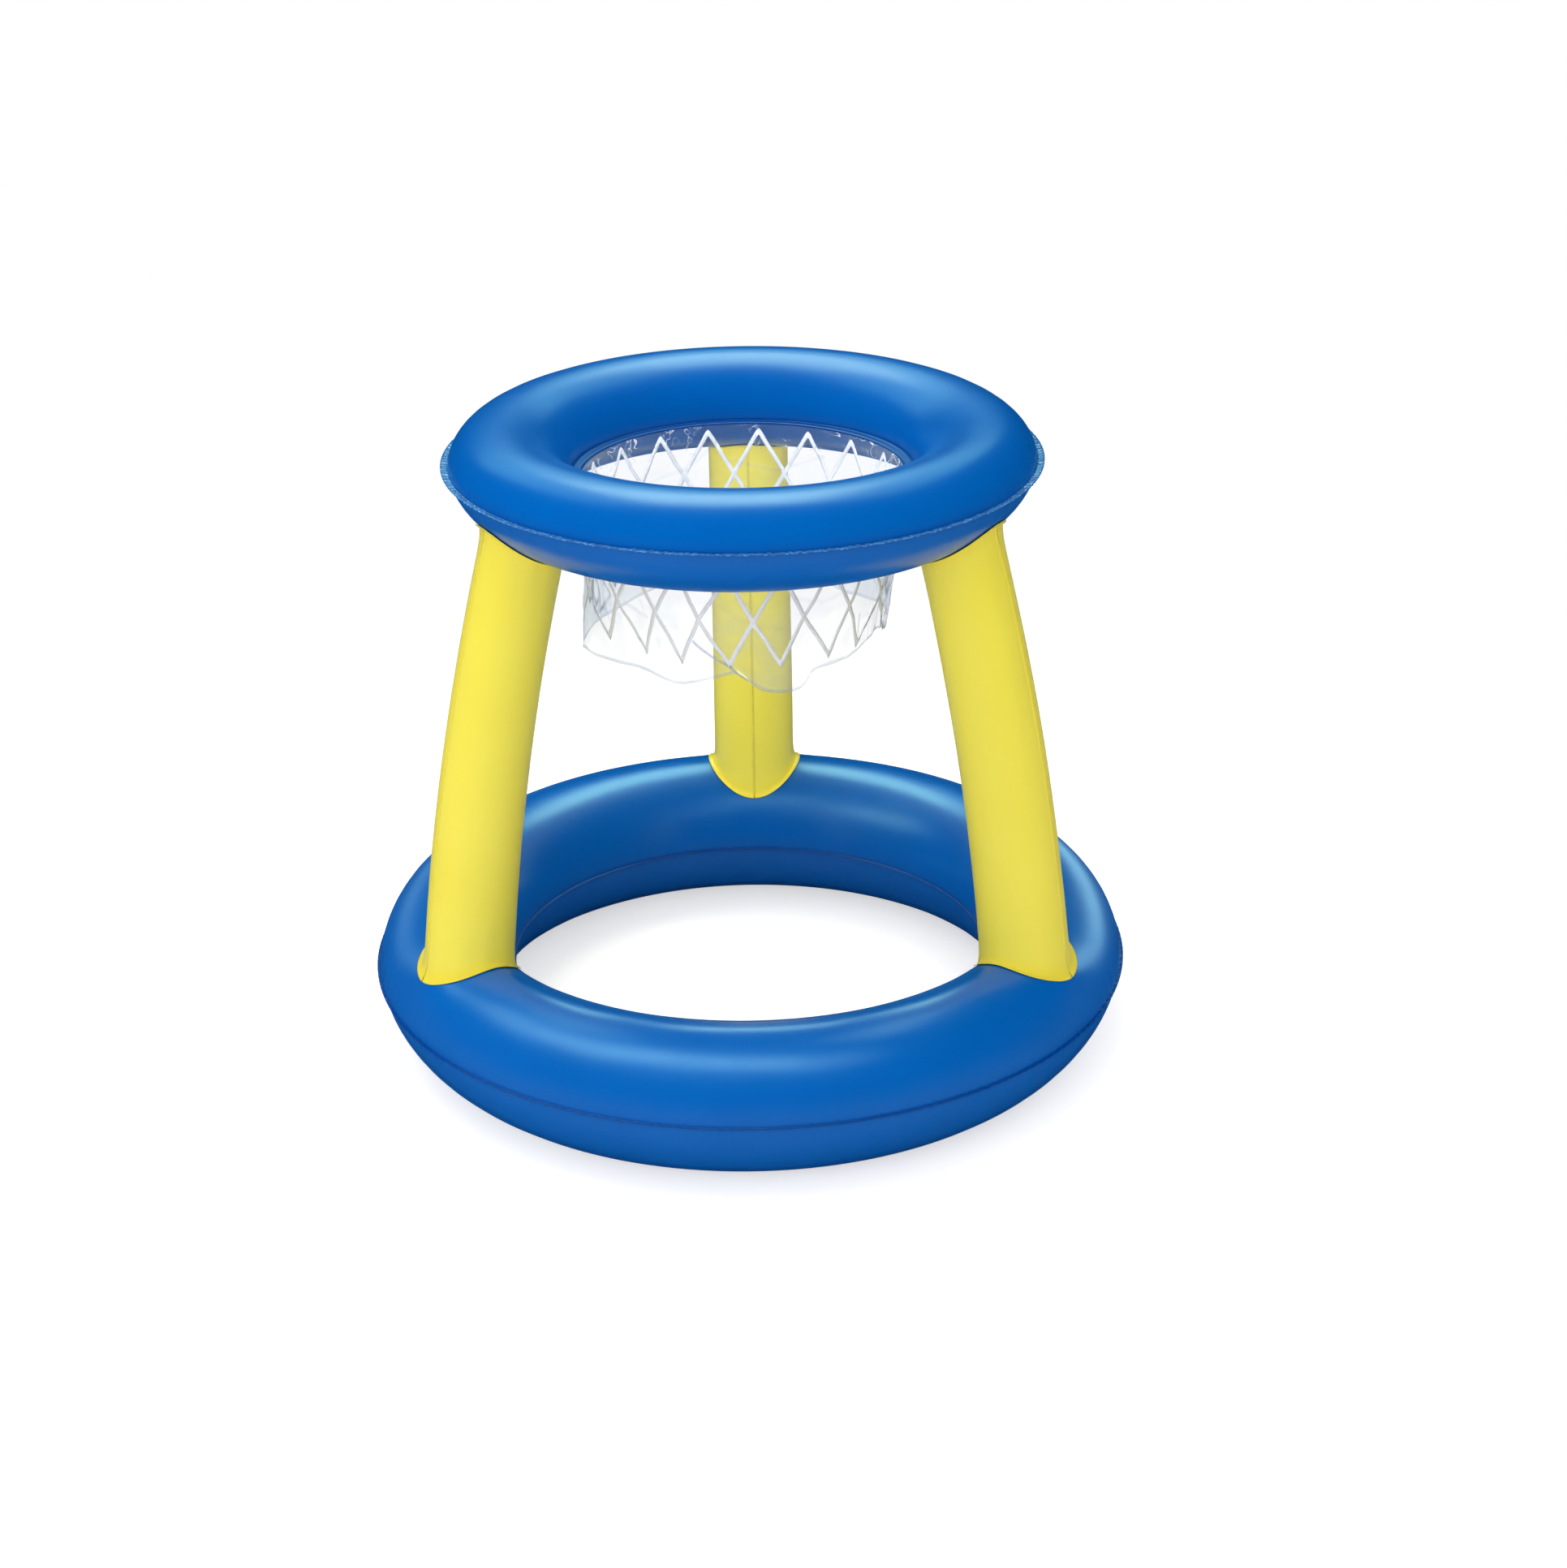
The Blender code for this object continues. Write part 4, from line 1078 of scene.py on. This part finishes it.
def moulded_pvc():
    """Soft moulded PVC: milky, satin, with a faint swirl from the mould's flow."""
    uniform = {
        "Roughness": 0.3,
        "IOR": PVC_IOR,
        "Subsurface Weight": 0.3,
        "Subsurface Scale": 0.003,
    }
    material, tree, shader, place = start_material("moulded_milky_PVC", uniform)
    flow = {"Vector": place, "Scale": 1 / 0.006, "Distortion": 1.5}
    flow = add(tree, "ShaderNodeTexNoise", flow)
    paint(tree, shader, "#D3DCE3", (flow, "#E6ECF0"))
    roughen(tree, shader, place, (0.0006, 2, 0.00002, 0.3))
    return material


def rounded(corners, radius):
    """Closed outline of radius and height with every corner off the axis rounded."""
    outline = []
    for index, corner in enumerate(corners):
        here = Vector(corner)
        if here.x == 0:
            outline.append(here)
            continue
        back = (Vector(corners[index - 1]) - here).normalized() * radius
        ahead = (Vector(corners[(index + 1) % len(corners)]) - here).normalized() * radius
        for share in (0, 0.25, 0.5, 0.75, 1):
            start = here + back * (1 - share)
            outline.append(start.lerp(here + ahead * share, share))
    return outline


def turned(name, corners):
    """Solid turned about Z from the corners of its section, given from the outside inwards."""
    outline = rounded(corners, MOULD_ROUNDING)
    points = [(spot.x, 0, spot.y) for spot in outline]
    closed = all(spot.x > 0 for spot in outline)
    edges = [(index, index + 1) for index in range(len(points) - 1)]
    if closed:
        edges.append((len(points) - 1, 0))
    mesh = bpy.data.meshes.new(name)
    mesh.from_pydata(points, edges, [])
    item = link_piece(name, mesh)
    turned_sheet(item, VALVE_STEPS)
    settle(item)
    face_outwards(item.data)
    return item


def face_outwards(mesh):
    """Points a closed solid's faces outwards."""
    solid = bmesh.new()
    solid.from_mesh(mesh)
    bmesh.ops.remove_doubles(solid, verts=solid.verts, dist=0.000001)
    bmesh.ops.recalc_face_normals(solid, faces=solid.faces)
    solid.to_mesh(mesh)
    solid.free()


def link_solid(name, solid):
    mesh = bpy.data.meshes.new(name)
    solid.to_mesh(mesh)
    solid.free()
    return link_piece(name, mesh)


def bar(low, high):
    """Bar between two corners, with its edges rounded."""
    solid = bmesh.new()
    size = Vector(high) - Vector(low)
    place = Matrix.Translation((Vector(low) + Vector(high)) / 2) @ Matrix.Diagonal((*size, 1))
    bmesh.ops.create_cube(solid, size=1, matrix=place)
    edge = {"offset": min(MOULD_ROUNDING, min(size) / 4), "affect": "EDGES"}
    bmesh.ops.bevel(solid, geom=solid.edges[:], segments=2, profile=0.5, **edge)
    return link_solid("bar", solid)


def pin(place, diameter, length):
    """Pin along Y through a place."""
    solid = bmesh.new()
    lie = Matrix.Translation(place) @ Matrix.Rotation(math.pi / 2, 4, "X")
    size = {"radius1": diameter / 2, "radius2": diameter / 2, "depth": length}
    bmesh.ops.create_cone(solid, cap_ends=True, segments=PIN_SIDES, matrix=lie, **size)
    return link_solid("pin", solid)


def moulded(item, others, prefix, body, node):
    """Joins a valve piece's parts into one moulding, and puts it in its place on the ring."""
    for other in others:
        join = item.modifiers.new("join", "BOOLEAN")
        join.operation = "UNION"
        join.object = other
    settle(item)
    for other in others:
        bpy.data.objects.remove(other)
    item.data.transform(valve_matrix(prefix))
    item.data.shade_smooth()
    item.data.set_sharp_from_angle(angle=MOULD_SHARP_ANGLE)
    dress(item, MILKY_PVC, body, "valve_vinyl", prefix + node)


def flange(prefix, ring):
    """Round flange that follows the ring's curve, with a hole for the stem."""
    inner = VALVE_STEM_DIAMETER / 2 + VALVE_RUNNING_GAP
    outer = VALVE_FLANGE_DIAMETER / 2
    middle_turn = VALVE_TURNS[prefix]
    side = math.copysign(1, middle_turn)
    centre, _ = ring.point_at(VALVE_BEARING, middle_turn)
    nearby, _ = ring.point_at(VALVE_BEARING, middle_turn + side * VALVE_TURN_PROBE)
    turn_per_length = side * VALVE_TURN_PROBE / (nearby - centre).length
    wall = VALVE_FLANGE_WALL
    outline = rounded([(outer, 0), (outer, wall), (inner, wall), (inner, 0)], MOULD_ROUNDING)
    shares = [step / FLANGE_STEPS for step in range(1, FLANGE_STEPS)]
    under = [Vector((inner + (outer - inner) * share, 0)) for share in shares]
    over = [Vector((outer + (inner - outer) * share, wall)) for share in shares]
    half = len(outline) // 2
    rows = []
    for spot in outline[:half] + over + outline[half:] + under:
        row = []
        for step in range(VALVE_STEPS):
            angle = math.tau * step / VALVE_STEPS
            turn = middle_turn + spot.x * math.cos(angle) * turn_per_length
            around = VALVE_BEARING - side * spot.x * math.sin(angle) / centre.xy.length
            point, normal = ring.point_at(around, turn)
            row.append(point + normal * (WELD_GAP + spot.y))
        rows.append(row)
    name = prefix + "_filling_flange"
    mesh = grid_mesh(name, rows + rows[:1])
    face_outwards(mesh)
    item = link_piece(name, mesh)
    dress(item, MILKY_PVC, "float_frame", "valve_vinyl", prefix + "_valve_flange")


def stem(prefix):
    """Stem tube with its collar, and the lug that carries the strap."""
    seat = VALVE_COLLAR_SEAT
    top = seat + VALVE_COLLAR_HEIGHT
    bottom = seat - VALVE_STEM_LENGTH
    bore = VALVE_BORE_DIAMETER / 2
    outside = VALVE_STEM_DIAMETER / 2
    collar = VALVE_COLLAR_DIAMETER / 2
    corners = [(bore, top), (bore, bottom), (outside, bottom)]
    corners += [(outside, seat), (collar, seat), (collar, top)]
    item = turned(prefix + "_filling_stem", corners)
    tip = PLUG_HINGE_PLACE.x - STRAP_WALL
    inset = MOULD_ROUNDING
    half = STRAP_WIDTH / 2
    lug = bar((tip, -half, seat + inset), (-(collar + outside) / 2, half, top - inset))
    post = bar((tip, -half, seat + inset), (tip + LUG_POST_LENGTH, half, LUG_POST_TOP))
    moulded(item, [lug, post], prefix, prefix + "_stem", "_valve_stem")


def plug(prefix):
    """Plug with its tapered peg, on a strap that ends in the bend where it turns."""
    under = VALVE_COLLAR_SEAT + VALVE_COLLAR_HEIGHT + WELD_GAP
    over = under + PLUG_CAP_HEIGHT
    cap = PLUG_CAP_DIAMETER / 2
    peg = PLUG_PEG_DIAMETER / 2
    tip = PLUG_PEG_TIP_DIAMETER / 2
    end = under - PLUG_PEG_LENGTH
    corners = [(0, over), (cap, over), (cap, under), (peg, under), (tip, end), (0, end)]
    item = turned(prefix + "_filling_plug", corners)
    hinge = PLUG_HINGE_PLACE
    half_wall = STRAP_WALL / 2
    half = STRAP_WIDTH / 2
    end = (-(cap + peg) / 2, half, hinge.z + half_wall)
    strap = bar((hinge.x, -half, hinge.z - half_wall), end)
    bend = pin(hinge, STRAP_WALL, STRAP_WIDTH + MOULD_ROUNDING)
    moulded(item, [strap, bend], prefix, prefix + "_plug", "_valve_plug")


def check_flap(prefix):
    """Thin disc on a short tongue, which the air presses shut over the stem's inner end."""
    middle = VALVE_COLLAR_SEAT - VALVE_STEM_LENGTH - WELD_GAP - FLAP_WALL / 2
    hinge = Vector((-FLAP_DIAMETER / 2 - FLAP_TONGUE_REACH, 0, middle))
    over = middle + FLAP_WALL / 2
    under = middle - FLAP_WALL / 2
    disc = FLAP_DIAMETER / 2
    corners = [(0, over), (disc, over), (disc, under), (0, under)]
    item = turned(prefix + "_filling_flap", corners)
    half = FLAP_TONGUE_WIDTH / 2
    thin = FLAP_WALL / 4
    tongue = bar((hinge.x, -half, middle - thin), (-disc / 2, half, middle + thin))
    bend = pin(hinge, FLAP_WALL, FLAP_TONGUE_WIDTH + MOULD_ROUNDING)
    moulded(item, [tongue, bend], prefix, prefix + "_flap", "_valve_check_flap")


MILKY_PVC = moulded_pvc()
for valve_name, valve_ring in (("base", BASE), ("hoop", HOOP)):
    flange(valve_name, valve_ring)
    stem(valve_name)
    plug(valve_name)
    check_flap(valve_name)


# Floor and studio. A plain white floor in even light from the ceiling and walls, with a little more
# from above and in front. Softboxes that only the gloss mirrors stand behind and above the hoop.

FLOOR_SIZE = 14
FLOOR_HEIGHT = -0.0002
SHADOW_REACH = 0.55
WHITE_HUE = (1, 1, 1)
CORE_HUE = (0.7, 1, 0.74)
WIDE_HUE = (0.36, 1, 0.9)
BAND_HUE = (0.5, 1, 0.75)
SIDE_HUE = (0.45, 0.92, 1)
BAND_BOXES = (
    (-1.0, -0.1, 0.93, 4), (-0.8, -0.48, 1.06, 5.5), (-0.45, -0.66, 1.16, 6.5),
    (0, -0.8, 1.19, 6.5), (0.4, -0.83, 1.13, 3), (-0.66, 0.1, 1.25, 3), (0.5, 0.05, 1.3, 4),
)


def white_floor():
    """White floor paint. It keeps the shadow near the hoop, and fades to the white background. To
    glossy rays it is painted dark blue, a painted reflection of a shaded floor.
    """
    uniform = {"Roughness": 0.9, "Specular IOR Level": 0, "Emission Color": (1, 1, 1, 1)}
    material, tree, shader, place = start_material("white_floor_paint", uniform)
    path = add(tree, "ShaderNodeLightPath").outputs
    seen = (path["Is Camera Ray"], path["Is Transmission Ray"])
    seen = add(tree, "ShaderNodeMath", seen, operation="MAXIMUM")
    far = add(tree, "ShaderNodeVectorMath", (place,), operation="LENGTH").outputs["Value"]
    fade = {"Value": far, "From Min": SHADOW_REACH, "From Max": 2 * SHADOW_REACH}
    fade = add(tree, "ShaderNodeMapRange", fade, interpolation_type="SMOOTHSTEP")
    unlit = add(tree, "ShaderNodeMath", (seen, fade), operation="MULTIPLY")
    # Glossy rays see the floor painted dark blue: a painted reflection standing in for shade on the
    # floor.
    paint(tree, shader, "#F2EEE6", (unlit, "#000000"), (path["Is Glossy Ray"], "#0F3A6B"))
    level = add(tree, "ShaderNodeMapRange", {"Value": fade, "To Min": 0.56})
    glow = add(tree, "ShaderNodeMath", (seen, level), operation="MULTIPLY")
    tree.links.new(glow.outputs[0], shader.inputs["Emission Strength"])
    return material


half_floor = FLOOR_SIZE / 2
floor_corners = [(-half_floor, -half_floor), (half_floor, -half_floor)]
floor_corners += [(half_floor, half_floor), (-half_floor, half_floor)]
floor_mesh = bpy.data.meshes.new("floor")
floor_mesh.from_pydata([(x, y, FLOOR_HEIGHT) for x, y in floor_corners], [], [(0, 1, 2, 3)])
floor_mesh.materials.append(white_floor())
floor = link_piece("floor", floor_mesh)


def soft_light(name, place, target, size, radiance, hue=None, only=(), through=False):
    """Rectangular softbox. With a hue it is only mirrored in the gloss, and else it only lights.

    Where pieces are named, it reaches only them. Through lets it pass all the other pieces.
    """
    lamp = bpy.data.lights.new(name, "AREA")
    lamp.shape = "RECTANGLE"
    lamp.size, lamp.size_y = size
    lamp.energy = radiance * math.pi * size[0] * size[1]
    lamp.color = hue or WHITE_HUE
    lamp.cycles.use_multiple_importance_sampling = hue is not None
    item = bpy.data.objects.new(name, lamp)
    bpy.context.scene.collection.objects.link(item)
    item.location = place
    item.rotation_euler = (Vector(target) - Vector(place)).to_track_quat("-Z", "Y").to_euler()
    item.visible_camera = False
    item.visible_diffuse = hue is None
    item.visible_glossy = hue is not None
    if only:
        reach = bpy.data.collections.new(name + "_reach")
        for piece in only:
            reach.objects.link(bpy.data.objects[piece])
        item.light_linking.receiver_collection = reach
        if through:
            item.light_linking.blocker_collection = reach
    return item


base = ["base_ring_top_sheet", "base_ring_under_sheet"]
others = [item.name for item in bpy.context.scene.objects if item.type == "MESH"]
others = [name for name in others if name not in base]
hoop_middle = (0, 0, 0.5)
soft_light("ceiling", (0, 0, 3.2), (0, 0, 0), (8, 8), 0.8)
for index, (x, y) in enumerate(((4, 0), (0, 4), (-4, 0), (0, -4))):
    soft_light(f"wall_{index}", (x, y, 1.6), (0, 0, 1.6), (8, 3.2), 0.8)
soft_light("overhead_fill", (-0.8, 0.3, 2.5), (0, 0, 0.2), (2, 2), 1.5)
soft_light("front_fill", (-1, -2.5, 1.1), (0, 0, 0.25), (2.6, 1.8), 1.45)
soft_light("wide_softbox", (-0.35, 1.86, 2.8), hoop_middle, (3.7, 2.8), 1.75, WIDE_HUE, others)
soft_light("core_softbox", (-0.2, 1.67, 2.99), hoop_middle, (1.5, 1.6), 5.2, CORE_HUE, others)
soft_light("base_softbox", (-0.02, 0.45, 0.8), (0, 0.22, 0.12), (0.72, 0.3), 12, BAND_HUE, base)
for index, (x, radiance) in enumerate(((-2.4, 0.9), (2.4, 3.2))):
    place = (x, 3.4, 0.45)
    soft_light(f"side_panel_{index}", place, (0, 0, 0.1), (3.2, 1.1), radiance, SIDE_HUE, base)
for index, (*place, radiance) in enumerate(BAND_BOXES):
    target = (0.15 * place[0], 0.25 * place[1], 0.1)
    soft_light(f"band_box_{index}", place, target, (0.5, 0.36), radiance, BAND_HUE, base)
soft_light(
    "film_glint", (0, -1.5, 0.78), (0, 0.1, 0.45), (1.4, 0.4), 22, WHITE_HUE,
    only=["net_skirt"], through=True,
)
leg_fill = soft_light(
    "back_leg_fill", (-0.06, -0.35, 0.56), (0, 0.18, 0.44), (0.5, 0.25), 4.4,
    only=["back_leg_left_half", "back_leg_right_half"], through=True,
)
net_fill = soft_light(
    "far_print_fill", (0, -0.07, 0.54), (0, 0.12, 0.43), (0.16, 0.08), 7,
    only=["net_lattice", "net_skirt"],
)
net_fill.light_linking.blocker_collection = leg_fill.light_linking.receiver_collection

world = bpy.data.worlds.new("studio")
bpy.context.scene.world = world
world.use_nodes = True
sky = world.node_tree.nodes["Background"]
light_path = add(world.node_tree, "ShaderNodeLightPath").outputs
background = (light_path["Is Camera Ray"], light_path["Is Transmission Ray"])
background = add(world.node_tree, "ShaderNodeMath", background, operation="MAXIMUM")
world.node_tree.links.new(background.outputs[0], sky.inputs["Strength"])
sky.inputs["Color"].default_value = (1, 1, 1, 1)

bpy.context.scene.view_settings.view_transform = "Standard"
